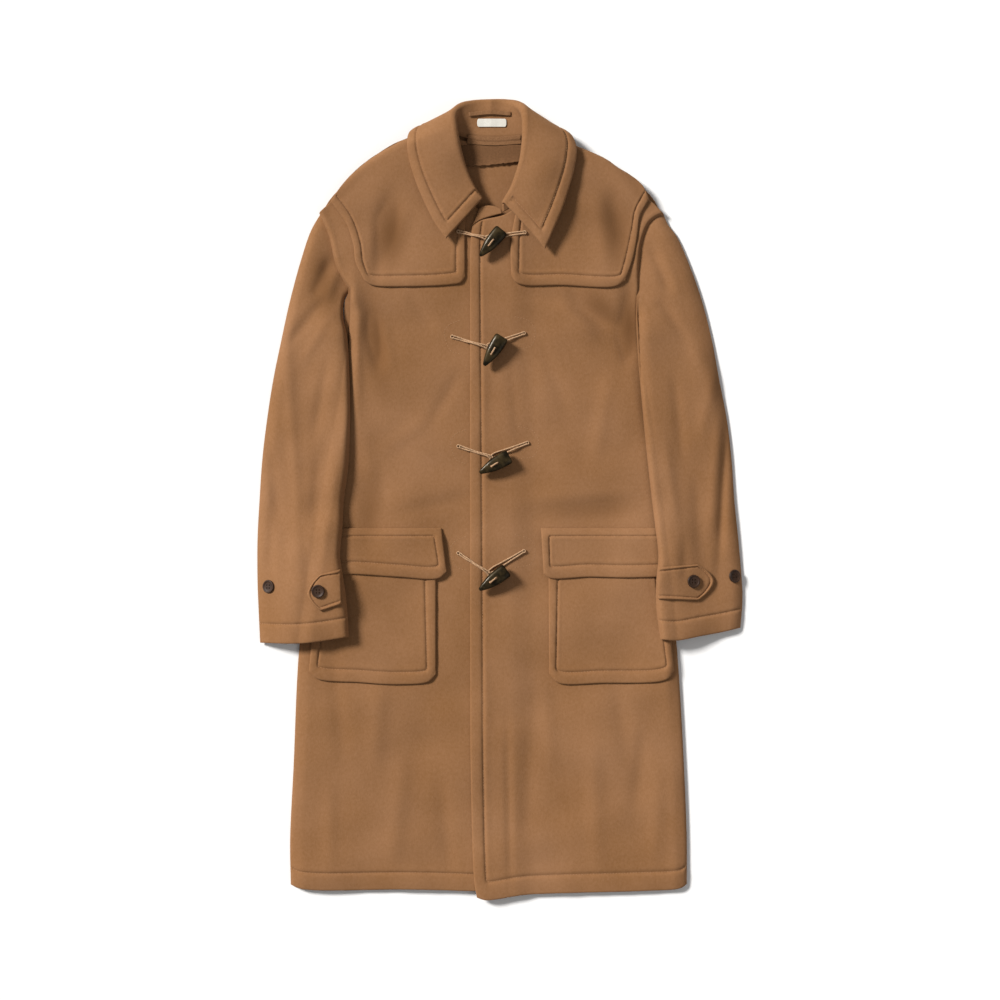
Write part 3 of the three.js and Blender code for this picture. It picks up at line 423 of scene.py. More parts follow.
def mesh_from(name, points, quads, material):
    mesh = bpy.data.meshes.new(name)
    mesh.from_pydata(points.tolist(), [], quads.tolist())
    mesh.update()
    mesh.polygons.foreach_set("use_smooth", np.ones(len(mesh.polygons), bool))
    obj = bpy.data.objects.new(name, mesh)
    obj.data.materials.append(material)
    bpy.context.collection.objects.link(obj)
    return obj


def shell_quads(rows, columns):
    n = np.arange(rows * columns).reshape(rows, columns)
    m = n + rows * columns
    face = [n[:-1, :-1], n[:-1, 1:], n[1:, 1:], n[1:, :-1]]
    under = [m[1:, :-1], m[1:, 1:], m[:-1, 1:], m[:-1, :-1]]
    rims = [
        (m[0, :-1], m[0, 1:], n[0, 1:], n[0, :-1]),
        (n[-1, :-1], n[-1, 1:], m[-1, 1:], m[-1, :-1]),
        (n[:-1, 0], n[1:, 0], m[1:, 0], m[:-1, 0]),
        (m[:-1, -1], m[1:, -1], n[1:, -1], n[:-1, -1]),
    ]
    parts = [np.stack([a.ravel() for a in face], 1), np.stack([a.ravel() for a in under], 1)]
    parts += [np.stack(rim, 1) for rim in rims]
    return np.vstack(parts)


# %% [markdown]
# ## Creases and fullness
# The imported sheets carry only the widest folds. The finer cloth adds the narrow creases that
# the photo shows beside the armholes, under the toggles and along the sleeves, and a slow
# unevenness that any thick wool has when it is laid out by hand.

# %% Finer creases: middle, heading in degrees, length, width, rise
BODY_CREASES = [
    (-161, 404, 88, 110, 17, -2.4), (-188, 250, 97, 120, 13, -2.0), (189, 266, 88, 110, 13, -2.6),
    (114, 282, 152, 120, 10, -1.5), (-190, -20, 84, 130, 20, -1.2), (40, 150, 96, 200, 24, -0.8),
    (-212, 235, 92, 190, 8, 1.5), (-176, 372, 84, 100, 11, -1.5), (-150, 392, 70, 80, 12, 0.7),
    (-182, 232, 98, 80, 9, -1.2), (-165, 226, 100, 70, 9, 0.8), (-116, 276, 128, 60, 8, -0.7),
    (-80, 150, 60, 90, 10, -0.7), (-140, 95, 35, 90, 12, 0.6), (-98, -8, 12, 110, 12, -0.8),
    (-190, 40, 100, 120, 12, 0.7), (-238, -300, 96, 160, 12, -0.9), (-180, -330, 86, 130, 14, 0.9),
    (-150, -460, 84, 160, 14, 0.8), (-80, -480, 96, 150, 12, -0.8), (-250, -480, 90, 120, 11, 0.8),
    (172, 412, 104, 80, 12, -1.5), (150, 396, 100, 90, 11, 0.9), (188, 228, 84, 60, 9, -1.2),
    (128, 283, 135, 70, 8, -1.3), (112, 268, 135, 70, 9, 0.9), (60, 296, 160, 60, 8, -0.6),
    (125, -14, 4, 170, 17, -0.9), (120, 6, 4, 150, 11, 0.7), (80, 180, 110, 120, 12, -0.7),
    (150, 120, 80, 130, 12, 0.8), (20, 150, 95, 110, 9, -0.6), (-24, 150, 88, 90, 8, 0.6),
    (13, -450, 91, 230, 5, -0.9), (70, -330, 94, 130, 12, 0.7), (40, -420, 88, 160, 12, -0.7),
    (180, -330, 98, 120, 13, -0.8), (140, -450, 92, 170, 13, 0.9), (230, -460, 88, 140, 12, 0.8),
    (205, -400, 84, 120, 11, -0.8), (-20, -300, 92, 100, 9, 0.5),
]
SLEEVE_CREASES = [
    (-262, 326, 66, 60, 9, -1.5), (-246, 318, 70, 50, 8, 0.9), (-284, 262, 52, 90, 9, -1.1),
    (-268, 240, 60, 80, 9, 0.8), (-304, 90, 94, 300, 9, 0.9), (-262, 150, 80, 110, 9, -1.0),
    (-246, 60, 88, 110, 8, 0.8), (-270, 10, 84, 110, 9, -1.0), (-334, 40, 98, 140, 9, -0.8),
    (-326, -80, 90, 90, 9, 0.8), (-286, -70, 96, 110, 10, -0.8), (-256, -60, 86, 70, 8, 0.7),
    (236, 340, 112, 70, 9, -1.3), (252, 330, 112, 60, 9, 0.8), (258, 262, 126, 90, 9, -1.2),
    (278, 236, 118, 80, 9, 0.8), (328, 15, 87, 190, 6, -1.6), (314, 20, 86, 170, 8, 0.9),
    (262, 120, 96, 120, 9, -0.9), (250, 30, 98, 120, 8, 0.7), (290, -20, 92, 110, 10, -0.8),
    (270, -90, 90, 70, 8, -0.8), (308, 150, 76, 110, 10, 0.7), (310, -100, 88, 70, 8, 0.6),
]

# %% The fullness of the fronts and sleeves
CREASE_DEPTH, PUFF = 2.3, 3.6
CROWN, OUTER_RUN, INNER_RUN = 6, 42, 18


def unevenness(seed, count, amount):
    """Slow waves in all directions, up to 180 mm long, the longer ones the higher."""
    dice = np.random.default_rng(seed)
    long = dice.uniform(42, 180, count)
    heading = dice.uniform(0, 2 * math.pi, count)
    phase = dice.uniform(0, 2 * math.pi, count)

    def height(x, y):
        total = np.zeros(np.shape(x))
        for k in range(count):
            run = (x * math.cos(heading[k]) + y * math.sin(heading[k])) * 2 * math.pi / long[k]
            total += amount * long[k] * np.sin(run + phase[k])
        return total

    return height


body_waves, sleeve_waves = unevenness(3, 22, 0.0026), unevenness(5, 18, 0.0028)


def above(value, floor, blend=0.5):
    """The higher of two heights, with a soft change from one to the other."""
    return 0.5 * (value + floor + np.sqrt((value - floor) ** 2 + blend * blend))


def body_fine(x, y):
    """What the finer creases add to every layer that lies on the body's fullness."""
    height = CREASE_DEPTH * relief(BODY_CREASES, x, y) + body_waves(x, y) + PUFF
    far_in = inside(x, y) + 24 * smooth(ARMPIT - 34, ARMPIT, y) + 400 * smooth(ARMPIT, ARMPIT + 8, y)
    return above(height * smooth(-2, 20, far_in), -0.8 * body_loft(x, y))


def sleeve_crown(x, y):
    """A sleeve is fullest along its middle, and flatter at its head and its cuff."""
    inner = np.abs(from_inner(x, y)) / INNER_RUN + arm_closed(y)
    reach = rounded(np.minimum(np.abs(from_outer(x, y)) / OUTER_RUN, inner))
    head = 0.3 + 0.7 * smooth(0, 34, from_armhole(x, y))
    return CROWN * reach * head * (0.4 + 0.6 * smooth(-215, -150, y))


def sleeve_base(x, y):
    return sleeve_floor(x, y) + on_body(x, y) * body_fine(x, y)


def sleeve_seen(x, y):
    fine = CREASE_DEPTH * relief(SLEEVE_CREASES, x, y) + sleeve_waves(x, y)
    loft = above(sleeve_loft(x, y) + sleeve_crown(x, y) + fine, 0.4)
    sunk = 2 * np.exp(-from_armhole(x, y) / 7) * smooth(ARMPIT - 20, ARMPIT, y)
    return sleeve_base(x, y) + WOOL + loft + WOOL - sunk


print(f"creases: {len(BODY_CREASES)} on the body, {len(SLEEVE_CREASES)} on the sleeves")


# %% [markdown]
# ## How an edge is made
# A thick wool edge is turned in and stitched down a finger's width away. Between the edge
# and the stitches the cloth swells, and at the stitches it is pulled into a groove with
# small puckers. The rim itself is round. Where two sheets are joined, both curve towards
# the seam between them.

# %% Threads that lie closer near the edges and the stitches
RIM_LINES = (0.3, 0.9, 1.8, 3, 4.5)
STITCH_LINES = (-6, -3.6, -1.9, -0.9, 0, 0.9, 1.9, 3.6, 6)
SWELL, GROOVE, GROOVE_HALF, CORNER = 1.2, 1.45, 1.7, 0.4


def lines(length, count, low=0, high=0):
    """Where the threads run, in millimetres: closer at the rims and the stitches."""
    marks = [0, length]
    for inset, far in ((low, False), (high, True)):
        near = list(RIM_LINES) + ([inset + k for k in STITCH_LINES] if inset else [])
        marks += [length - m if far else m for m in near]
    even = [t for t in np.linspace(0, length, count) if np.min(np.abs(np.array(marks) - t)) > 0.9]
    return np.unique(np.round(marks + even, 3))


def shares(marks, length, low, high):
    """The marks as shares of each way in length. What is near an end keeps its distance."""
    total = marks[-1]
    near, far = (min(inset + 8 if inset else 6, 0.4 * total) for inset in (low, high))
    fit = np.minimum(1, 0.8 * length / (near + far))
    return np.stack([
        np.interp(marks, [0, near, total - far, total],
                  [0, near * f / own, 1 - far * f / own, 1])
        for own, f in zip(length, fit)])


# %% Swell, groove and puckers of a stitched edge
def hem_shape(away, insets, along, seed):
    """Swelling, groove and puckers. away and insets belong to the stitched edges that are
    near, and a row turns a corner in a small round."""
    reach = 1 + CORNER
    ways = [np.maximum(reach - a / inset, 0) for a, inset in zip(away, insets)]
    q = reach - np.sum([w**4 for w in ways], axis=0) ** 0.25
    inset = insets[0]
    swell = SWELL * np.sin(math.pi * np.clip(q, 0, 1)) ** 0.7
    pucker = 1 + 0.35 * np.sin(along / 1.9 + seed) * np.sin(along / 5.3 + 2 * seed)
    groove = GROOVE * pucker * np.exp(-(((q - 1) * inset / GROOVE_HALF) ** 2))
    shoulder = 0.4 * np.exp(-((((q - 1) * inset - 5) / 3) ** 2))
    wave = 0.3 * np.sin(along / 6.1 + 3 * seed) * np.exp(-((q / 1.3) ** 2))
    return (swell - groove + shoulder + wave) * (q < reach - 1e-3)


# %% Rows of stitches
RING = ("left", "bottom", "right", "top")


def stitched_paths(stitched, size):
    """The rows of stitches as lines of distances across and up, round the corners."""
    def spot(side, inset, along):
        return {"left": (inset, along), "right": (size[0] - inset, along),
                "bottom": (along, inset), "top": (along, size[1] - inset)}[side]

    def corner(first, second):
        turn = np.linspace(0, math.pi / 2, 9)[1:-1]
        one = (1 + CORNER - CORNER * np.cos(turn) ** 0.5) * stitched[first]
        two = (1 + CORNER - CORNER * np.sin(turn) ** 0.5) * stitched[second]
        for a, b in zip(one, two):
            x = {"left": a, "right": size[0] - a} if first in ("left", "right") else {
                "left": b, "right": size[0] - b}
            y = {"bottom": a, "top": size[1] - a} if first in ("bottom", "top") else {
                "bottom": b, "top": size[1] - b}
            yield (x[first if first in x else second], y[first if first in y else second])

    def ends(side):
        i = RING.index(side)
        before, after = RING[i - 1], RING[(i + 1) % 4]
        span = size[1] if side in ("left", "right") else size[0]
        at_before = stitched[before] * (1 + CORNER) if before in stitched else 2
        at_after = stitched[after] * (1 + CORNER) if after in stitched else 2
        if side in ("left", "top"):
            return span - at_before, at_after
        return at_before, span - at_after

    paths = []
    starts = [s for s in RING if s in stitched and RING[RING.index(s) - 1] not in stitched]
    for side in starts or [s for s in RING if s in stitched][:1]:
        path = []
        for _ in range(4):
            begin, finish = ends(side)
            path += [spot(side, stitched[side], a) for a in np.linspace(begin, finish, 60)]
            after = RING[(RING.index(side) + 1) % 4]
            if after not in stitched:
                break
            path += list(corner(side, after))
            side = after
        paths.append(np.array(path))
    return paths


def on_skin(skin, across_mm, up_mm, path):
    """Points on a sheet's upper face at distances across and up."""
    column = np.clip(np.searchsorted(across_mm, path[:, 0]) - 1, 0, len(across_mm) - 2)
    row = np.clip(np.searchsorted(up_mm, path[:, 1]) - 1, 0, len(up_mm) - 2)
    s = ((path[:, 0] - across_mm[column]) / (across_mm[column + 1] - across_mm[column]))[:, None]
    t = ((path[:, 1] - up_mm[row]) / (up_mm[row + 1] - up_mm[row]))[:, None]
    return ((1 - t) * ((1 - s) * skin[row, column] + s * skin[row, column + 1])
            + t * ((1 - s) * skin[row + 1, column] + s * skin[row + 1, column + 1]))


# %% One sheet of cloth
RIM_SHARE, THINNEST, LOWER_SHARE, LOWER_LEAST, PLAIN_RUN = 0.08, 0.1, 0.5, -0.6, 4


def sheet_area(p):
    a = np.cross(p[1:, 1:] - p[:-1, :-1], p[1:, :-1] - p[:-1, 1:])
    return float(np.linalg.norm(a, axis=-1).sum() / 2)


def woven(edges, size, counts, stitched):
    """The net's points, and where its threads run in millimetres of the rough size."""
    low, high, start, end = (stitched.get(s, 0) for s in ("left", "right", "bottom", "top"))
    across_mm, up_mm = lines(size[0], counts[0], low, high), lines(size[1], counts[1], start, end)
    rough = net(edges, *np.meshgrid(across_mm / size[0], up_mm / size[1]))
    u = shares(across_mm, run_length(rough, 1), low, high)
    v = shares(up_mm, run_length(rough, 0), start, end).T
    return net(edges, u, v), across_mm, up_mm


def hemmed(upper, lower, away, stitched, along, seed):
    """Both faces with the stitched edges' swell. It dies out towards the plain edges."""
    bump = hem_shape([away[s] for s in stitched], list(stitched.values()), along, seed)
    plain_sides = [away[s] for s in away if s not in stitched]
    if plain_sides:
        bump *= np.clip(np.minimum.reduce(plain_sides) / PLAIN_RUN, 0, 1)
    return upper + bump, lower + np.maximum(bump, LOWER_LEAST) * LOWER_SHARE


def rolled(upper, lower, away, seams, rim, x, y):
    """Both faces drawn together at the edges: to the seam's level, or to their own middle."""
    for side in away:
        run, level = seams.get(side, (rim, None))
        share = np.maximum(rounded(away[side] / run), RIM_SHARE)
        middle = (upper + lower) / 2 if level is None else level(x, y)
        upper = middle + (upper - middle) * share
        lower = middle + (lower - middle) * share
    lower = np.maximum(lower, 0)
    return np.maximum(upper, lower + THINNEST), lower


def cloth(name, edges, size, counts, top, stitched=None, seams=None, wall=WOOL, rim=1.7,
          material=None):
    """A closed thin sheet. edges are the four edge curves, size its rough width and length,
    stitched the inset of the stitches from an edge, seams how a joined edge curves: its run
    and the height of the seam. Returns the object, its area and its rows of stitches."""
    stitched, seams = stitched or {}, seams or {}
    flat, across_mm, up_mm = woven(edges, size, counts, stitched)
    x, y = flat[..., 0], flat[..., 1]
    far, up = np.meshgrid(across_mm, up_mm)
    away = {"left": far, "right": size[0] - far, "bottom": up, "top": size[1] - up}
    upper = top(x, y)
    lower = upper - wall
    if stitched:
        upper, lower = hemmed(upper, lower, away, stitched, far + up, len(name))
    upper, lower = rolled(upper, lower, away, seams, rim, x, y)
    points = np.vstack([np.stack([x, y, z], -1).reshape(-1, 3) for z in (upper, lower)]) * MM
    obj = mesh_from(name, points, shell_quads(*x.shape), material)
    middle = np.stack([x, y, (upper + lower) / 2], -1) * MM
    skin = np.concatenate([flat, upper[..., None]], -1)
    rows = [on_skin(skin, across_mm, up_mm, path) for path in stitched_paths(stitched, size)]
    return obj, sheet_area(middle), rows


# %% [markdown]
# ## Wool, tape, horn
# The wool is brushed, so that its short fibres lie in clumps. Its colour wanders slowly over
# the coat and faster from clump to clump. The bump has the clumps and the fibres. The horn
# is polished, with paler streaks in it.

# %% Shader helpers
class Value:
    """A shader value. Arithmetic on it adds Math nodes."""

    def __init__(self, paint, socket):
        self.paint, self.socket = paint, socket

    def math(self, operation, first, second):
        return self.paint.node("ShaderNodeMath", inputs={0: first, 1: second}, operation=operation)

    def __add__(self, other):
        return self.math("ADD", self, other)

    def __radd__(self, other):
        return self.math("ADD", other, self)

    def __sub__(self, other):
        return self.math("SUBTRACT", self, other)

    def __rsub__(self, other):
        return self.math("SUBTRACT", other, self)

    def __mul__(self, other):
        return self.math("MULTIPLY", self, other)

    def __rmul__(self, other):
        return self.math("MULTIPLY", other, self)


class Paint:
    """A material in the making."""

    def __init__(self, name, **constants):
        self.material = bpy.data.materials.new(name)
        self.material.use_nodes = True
        self.tree = self.material.node_tree
        self.shader = self.tree.nodes["Principled BSDF"]
        for key, value in constants.items():
            self.shader.inputs[key.replace("_", " ")].default_value = value

    def node(self, kind, out=0, inputs=None, **settings):
        made = self.tree.nodes.new(kind)
        for key, value in settings.items():
            setattr(made, key, value)
        for key, value in (inputs or {}).items():
            self.feed(made.inputs[key], value)
        return Value(self, made.outputs[out])

    def feed(self, socket, value):
        if isinstance(value, Value):
            self.tree.links.new(value.socket, socket)
        else:
            socket.default_value = value

    def place(self, scale=(1, 1, 1), turn=(0, 0, 0)):
        spot = self.node("ShaderNodeTexCoord", out="Object")
        return self.node("ShaderNodeMapping", inputs={"Vector": spot, "Scale": scale, "Rotation": turn})

    def noise(self, scale, detail=3, rough=0.55, where=None):
        return self.node("ShaderNodeTexNoise", inputs={
            "Vector": where or self.place(), "Scale": scale, "Detail": detail, "Roughness": rough})

    def patch(self, x, y, turn, length, width):
        """1 in the middle of a long soft patch and 0 outside it, in millimetres and degrees."""
        spot = self.node("ShaderNodeTexCoord", out="Object")
        own = self.node("ShaderNodeMapping", vector_type="TEXTURE", inputs={
            "Vector": spot, "Location": (x * MM, y * MM, 0), "Rotation": (0, 0, math.radians(turn)),
            "Scale": (length / 2 * MM, width / 2 * MM, 1)})
        far = self.node("ShaderNodeVectorMath", out="Value", operation="LENGTH", inputs={0: own})
        return 1 - self.node("ShaderNodeMapRange", interpolation_type="SMOOTHSTEP", inputs={0: far})

    def ramp(self, value, low, high):
        return self.node("ShaderNodeMapRange", inputs={
            "Value": value, "From Min": low, "From Max": high})

    def mix(self, factor, first, second):
        return self.node("ShaderNodeMix", out=2, data_type="RGBA",
                         inputs={0: factor, 6: first, 7: second})

    def use(self, **parts):
        for key, value in parts.items():
            self.feed(self.shader.inputs[key.replace("_", " ")], value)

    def bump(self, height, strength, distance_m):
        return self.node("ShaderNodeBump", inputs={
            "Height": height, "Strength": strength, "Distance": distance_m})


def colour(r, g, b):
    return (r, g, b, 1)


# %% [markdown]
# ### Painted crease shade
# The wool is painted darker in the creases and hollows, where they lie in shade: on the yokes, beside
# the armholes and on the sleeves. This darkening is painted shade.

# %% Painted shade in the creases: middle, heading in degrees, length, width, how dark
PAINTED_CREASE_SHADE = [
    (-160, 390, 84, 150, 76, 0.85), (-180, 232, 97, 230, 50, 0.7), (-258, 318, 100, 150, 64, 0.6),
    (168, 396, 97, 170, 84, 0.7), (190, 256, 90, 150, 42, 0.8), (146, 286, 135, 110, 50, 0.55),
    (310, 196, 106, 220, 44, 0.45), (-190, -10, 85, 150, 50, 0.5), (128, -16, 4, 210, 44, 0.4),
    (-232, 462, 50, 150, 44, 0.4), (196, 468, -52, 150, 44, 0.4),
]


# %% Materials
def wool_material():
    paint = Paint("wool", Roughness=0.95, Specular_IOR_Level=0.15, Sheen_Weight=0.16,
                  Sheen_Roughness=0.5, Sheen_Tint=colour(0.8, 0.5, 0.28))
    slow = paint.noise(7, 2)
    clumps = paint.noise(230, 3, 0.6)
    fibres = paint.noise(700, 3, 0.6, paint.place((1, 0.4, 1), (0, 0, 0.3)))
    shade = paint.ramp(slow * 0.5 + clumps * 0.27 + fibres * 0.23, 0.34, 0.66)
    base = paint.mix(shade, colour(0.206, 0.095, 0.035), colour(0.281, 0.141, 0.067))
    # Painted shade: the wool's colour is mixed towards a deep brown over the creases listed above.
    crease_shade = sum((dark * paint.patch(*mark) for *mark, dark in PAINTED_CREASE_SHADE), 0 * slow)
    base = paint.mix(crease_shade, base, colour(0.128, 0.056, 0.019))
    height = clumps * 0.5 + fibres * 0.5
    paint.use(Base_Color=base, Normal=paint.bump(height, 0.5, 0.0008))
    return paint.material


def plain_cloth(name, dark, light, scale, strength, roughness=0.9):
    paint = Paint(name, Roughness=roughness, Specular_IOR_Level=0.2)
    weave = paint.noise(scale, 3, 0.6)
    paint.use(Base_Color=paint.mix(paint.ramp(weave, 0.35, 0.65), dark, light),
              Normal=paint.bump(weave, strength, 0.0006))
    return paint.material


def horn_material():
    paint = Paint("horn", Roughness=0.36, Specular_IOR_Level=0.16, Coat_Weight=0.1, Coat_Roughness=0.14,
                  Specular_Tint=colour(1, 0.82, 0.55))
    streak = paint.noise(75, 4, 0.6, paint.place((1, 1, 1), (0, 0, 0.75)))
    paint.use(Base_Color=paint.mix(paint.ramp(streak, 0.4, 0.75), colour(0.005, 0.0035, 0.0015),
                                   colour(0.05, 0.033, 0.013)))
    return paint.material


def button_material():
    paint = Paint("button", Roughness=0.5, Specular_IOR_Level=0.25)
    cloud = paint.noise(220, 3)
    paint.use(Base_Color=paint.mix(cloud, colour(0.017, 0.0075, 0.004), colour(0.055, 0.025, 0.012)))
    return paint.material


MATERIALS = {
    "wool": wool_material(),
    "lining": plain_cloth("lining", colour(0.13, 0.061, 0.025), colour(0.165, 0.078, 0.033), 420, 0.3),
    "tape": plain_cloth("tape", colour(0.17, 0.08, 0.034), colour(0.25, 0.125, 0.056), 900, 0.5),
    "label": plain_cloth("label", colour(0.6, 0.58, 0.52), colour(0.7, 0.68, 0.62), 1300, 0.35),
    "cord": plain_cloth("cord", colour(0.33, 0.19, 0.1), colour(0.6, 0.39, 0.23), 700, 0.6, 0.75),
    "horn": horn_material(),
    "button": button_material(),
}
print("materials:", ", ".join(MATERIALS))


# %% [markdown]
# ## Collar
# The collar is one wall: it rises from the neck seam, rolls over and comes down as the leaf
# that shows. A table gives its neck seam, its roll line and its outer edge at seventeen
# stations round the neck. Its edge is stitched like those of the fronts.

# %% Collar stations
COLLAR_COLUMNS = ("nx", "ny", "nz", "rx", "ry", "rz", "ex", "ey", "ez", "roll", "bow", "under")
COLLAR = np.array([
    (-35, 437, 14, -27, 442, 21, -79, 382, 14, 3.4, 1, 0),
    (-44, 445, 15, -35, 453, 24, -97, 408, 11, 3.8, 2, 0),
    (-62, 465, 16, -49, 481, 30, -118, 452, 6, 4.4, 3, 0),
    (-79, 498, 16.5, -59, 513, 36, -131, 490, 2.6, 5.0, 4, 0),
    (-84, 524, 16.5, -64, 541, 37, -136, 519, 4.4, 5.2, 4, 0.02),
    (-79, 540, 15.5, -66, 564, 32, -131, 540, 1.0, 5.2, 1.5, 0.5),
    (-60, 535, 12, -58, 579, 20, -104, 538, 0, 4.6, 1, 1),
    (-38, 530, 10.8, -38, 586, 9, -66, 517, 0, 4.1, 1, 1),
    (-12, 528, 10.4, -14, 587.5, 6.7, -12, 512, 0, 4.0, 0, 1),
    (20, 529, 10.6, 8, 587, 8, 42, 516, 0, 4.1, 1, 1),
    (42, 533, 12, 25, 581, 20, 74, 536, 0, 4.6, 1, 1),
    (59, 537, 15.5, 33, 569, 36, 99, 537, 3.0, 5.2, 1.5, 0.5),
    (62, 520, 17, 35, 543, 42, 111, 519, 8.0, 5.4, 5, 0.02),
    (56, 492, 17, 31, 499, 42, 109, 487, 12, 5.4, 6, 0),
    (41, 458, 17.5, 19, 461, 34, 94, 434, 17, 4.8, 4, 0),
    (20, 433, 18.5, 9, 443, 28, 76, 390, 15, 3.8, 2, 0),
    (4, 423, 19.5, 4, 434, 25.5, 66, 367, 14, 3.4, 1, 0),
])
LAST = len(COLLAR) - 1
SECTIONS = 36


def station(s):
    """The collar's measures at a share of its length."""
    at = min(max(s, 0), 1) * LAST
    i = min(int(at), LAST - 1)
    t = at - i
    a, b, c, d = (COLLAR[min(max(k, 0), LAST)] for k in (i - 1, i, i + 1, i + 2))
    row = 0.5 * (2 * b + (c - a) * t + (2 * a - 5 * b + 4 * c - d) * t * t
                 + (3 * b - a - 3 * c + d) * t**3)
    return dict(zip(COLLAR_COLUMNS, row))


def collar_top(x, y):
    """What the leaf lies on."""
    on_yoke = x < YOKE_FRONT["left"] or x > YOKE_FRONT["right"]
    return float(max(yoke_top(x, y) if on_yoke else over_top(x, y), front_top(x, y)))


def edge_floor(s):
    row = station(s)
    x, y = np.array(row["ex"]), np.array(row["ey"])
    return collar_top(x, y) * (1 - min(max(row["under"], 0), 1))


EDGE_AT = np.linspace(0, 1, SECTIONS + 1)
EDGE_FLOORS = np.array([edge_floor(s) for s in EDGE_AT])
print("the leaf's edge lies on", EDGE_FLOORS.min().round(1), "to", EDGE_FLOORS.max().round(1), "mm")


# %% A cut through the collar: stand, roll and leaf
def collar_section(s, roll_steps, leaf_steps, stand_steps=2):
    row = station(s)
    neck = np.array([row["nx"], row["ny"], row["nz"]])
    roll = np.array([row["rx"], row["ry"], row["rz"]])
    floor = np.interp(s, EDGE_AT, EDGE_FLOORS)
    edge = np.array([row["ex"], row["ey"], floor + COLLAR_WALL / 2 + max(row["ez"], 0)])
    out = roll - (neck + edge) / 2
    out /= np.linalg.norm(out)
    side = edge - neck
    side -= out * (side @ out)
    side /= np.linalg.norm(side)
    centre = roll - out * row["roll"]

    def touch(point, sign):
        ox, sx = (point - centre) @ out, (point - centre) @ side
        return math.atan2(sx, ox) - sign * math.acos(min(row["roll"] / math.hypot(ox, sx), 1))

    def on_roll(angle):
        return centre + row["roll"] * (out * math.cos(angle) + side * math.sin(angle))

    start, end = touch(neck, -1), touch(edge, 1)
    points = [neck + (on_roll(start) - neck) * t for t in np.arange(stand_steps) / stand_steps]
    points += [on_roll(start + (end - start) * t) for t in np.linspace(0, 1, roll_steps + 1)]
    last = points[-1]
    along = (edge - last) / np.linalg.norm(edge - last)
    lift = side - along * (side @ along)
    lift /= np.linalg.norm(lift)
    for t in leaf_steps:
        points.append(last + (edge - last) * t + lift * row["bow"] * math.sin(math.pi * t))
    return np.array(points)


# %% Collar sheet
COLLAR_STITCH, COLLAR_RIM, COLLAR_LONG, LEAF_DEEP, LEAF_ENDS, POINT_RUN = 16, 2.4, 620, 78, 74, 44


def lengths(points, axis):
    """How far each point is along its thread, from the first one."""
    steps = np.linalg.norm(np.diff(points, axis=axis), axis=-1)
    first = np.zeros_like(np.take(steps, [0], axis))
    return np.concatenate([first, np.cumsum(steps, axis=axis)], axis)


def collar_net(count):
    """The middle of the wall: rows from the neck seam to the leaf's edge."""
    leaf = 1 - lines(LEAF_DEEP, 20, COLLAR_STITCH, 0)[::-1] / LEAF_DEEP
    leaf = leaf[leaf > 1e-6]
    close = np.linspace(0, POINT_RUN, 40) / COLLAR_LONG
    even = lines(COLLAR_LONG, count) / COLLAR_LONG
    stations = np.unique(np.concatenate([even, close, 1 - close]).round(5))
    return np.array([collar_section(s, 12, leaf, 6) for s in stations]).transpose(1, 0, 2)


def collar_swell(middle, from_edge, to_end):
    """How far the leaf's upper face stands out: slow waves and the stitched edge."""
    x, y = middle[..., 0], middle[..., 1]
    fine = 0.8 * body_waves(x * 1.4 + 90, y * 1.4) * smooth(0, 40, from_edge)
    fine *= 1 - smooth(70, 85, from_edge)
    on_leaf = 1 - smooth(LEAF_ENDS, 90, from_edge)
    along = lengths(middle[-1], 0)[None] + from_edge
    return fine + hem_shape([from_edge, to_end + 60 * (1 - on_leaf)], [COLLAR_STITCH] * 2, along, 2.4)


def collar_sheet(name, count, material):
    middle = collar_net(count)
    rows, columns = middle.shape[:2]
    normal = np.cross(np.gradient(middle, axis=1), np.gradient(middle, axis=0))
    normal /= np.linalg.norm(normal, axis=-1, keepdims=True)
    from_edge = lengths(middle[::-1], 0)[::-1]
    passed = lengths(middle, 1)
    left = passed[:, -1:] - passed
    to_end = np.minimum(passed, left)
    share = np.maximum(rounded(np.minimum(from_edge, to_end) / COLLAR_RIM), RIM_SHARE)
    half_wall = normal * (COLLAR_WALL / 2 * share)[..., None]
    faces = [middle + half_wall, middle - half_wall]
    facing_out = -1 if normal[rows - 3, columns // 8, 2] < 0 else 1
    lifted = 0 if facing_out > 0 else 1
    swell = collar_swell(middle, from_edge, to_end) * share
    faces[lifted] = faces[lifted] + facing_out * normal * swell[..., None]
    points = np.vstack([f.reshape(-1, 3) for f in faces]) * MM
    points[:, 2] = np.maximum(points[:, 2], 0)
    obj = mesh_from(name, points, shell_quads(rows, columns), material)
    at = int(np.argmin(np.abs(from_edge[:, columns // 4] - COLLAR_STITCH)))
    threads = [faces[lifted][at, to_end[at] > COLLAR_STITCH * (1 + CORNER)]]
    chosen = np.where((from_edge[:, 0] < LEAF_ENDS) & (np.arange(rows) < at - 3))[0]
    for way in (passed, left):
        column = np.argmin(np.abs(way - COLLAR_STITCH), axis=1)
        threads.append(faces[lifted][chosen, column[chosen]])
    return obj, sheet_area(middle * MM), threads


# %% [markdown]
# ## The cut pieces
# The sheets follow, from the back on the floor to the pocket flaps. Each one takes the place
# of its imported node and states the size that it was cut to.

# %% Seams that two pieces share
def tucked(side, depth):
    """The shoulder seam, moved in under the yoke."""
    sign = 1 if side == "left" else -1
    rows = []
    for i, (px, py) in enumerate(SHOULDER[side]):
        here = depth * float(smooth(0, 2, i))
        rows.append((px + sign * TUCK_WAY[0] * here, py + TUCK_WAY[1] * here))
    return rows


def front_neck(stations, inset=NECK_INSET):
    """The neck seam at some of the collar's stations, a little outside it."""
    rows = []
    for i in stations:
        row = station(i / LAST)
        away = np.array([row["nx"] - NECK[0], row["ny"] - NECK[1]])
        away /= np.linalg.norm(away)
        rows.append((row["nx"] + away[0] * inset, row["ny"] + away[1] * inset))
    return rows


def body_side(side, edge=None):
    return joined(curve(SIDE[edge or side]), curve(ARMHOLE[side]), 1 - ARM_SHARE)


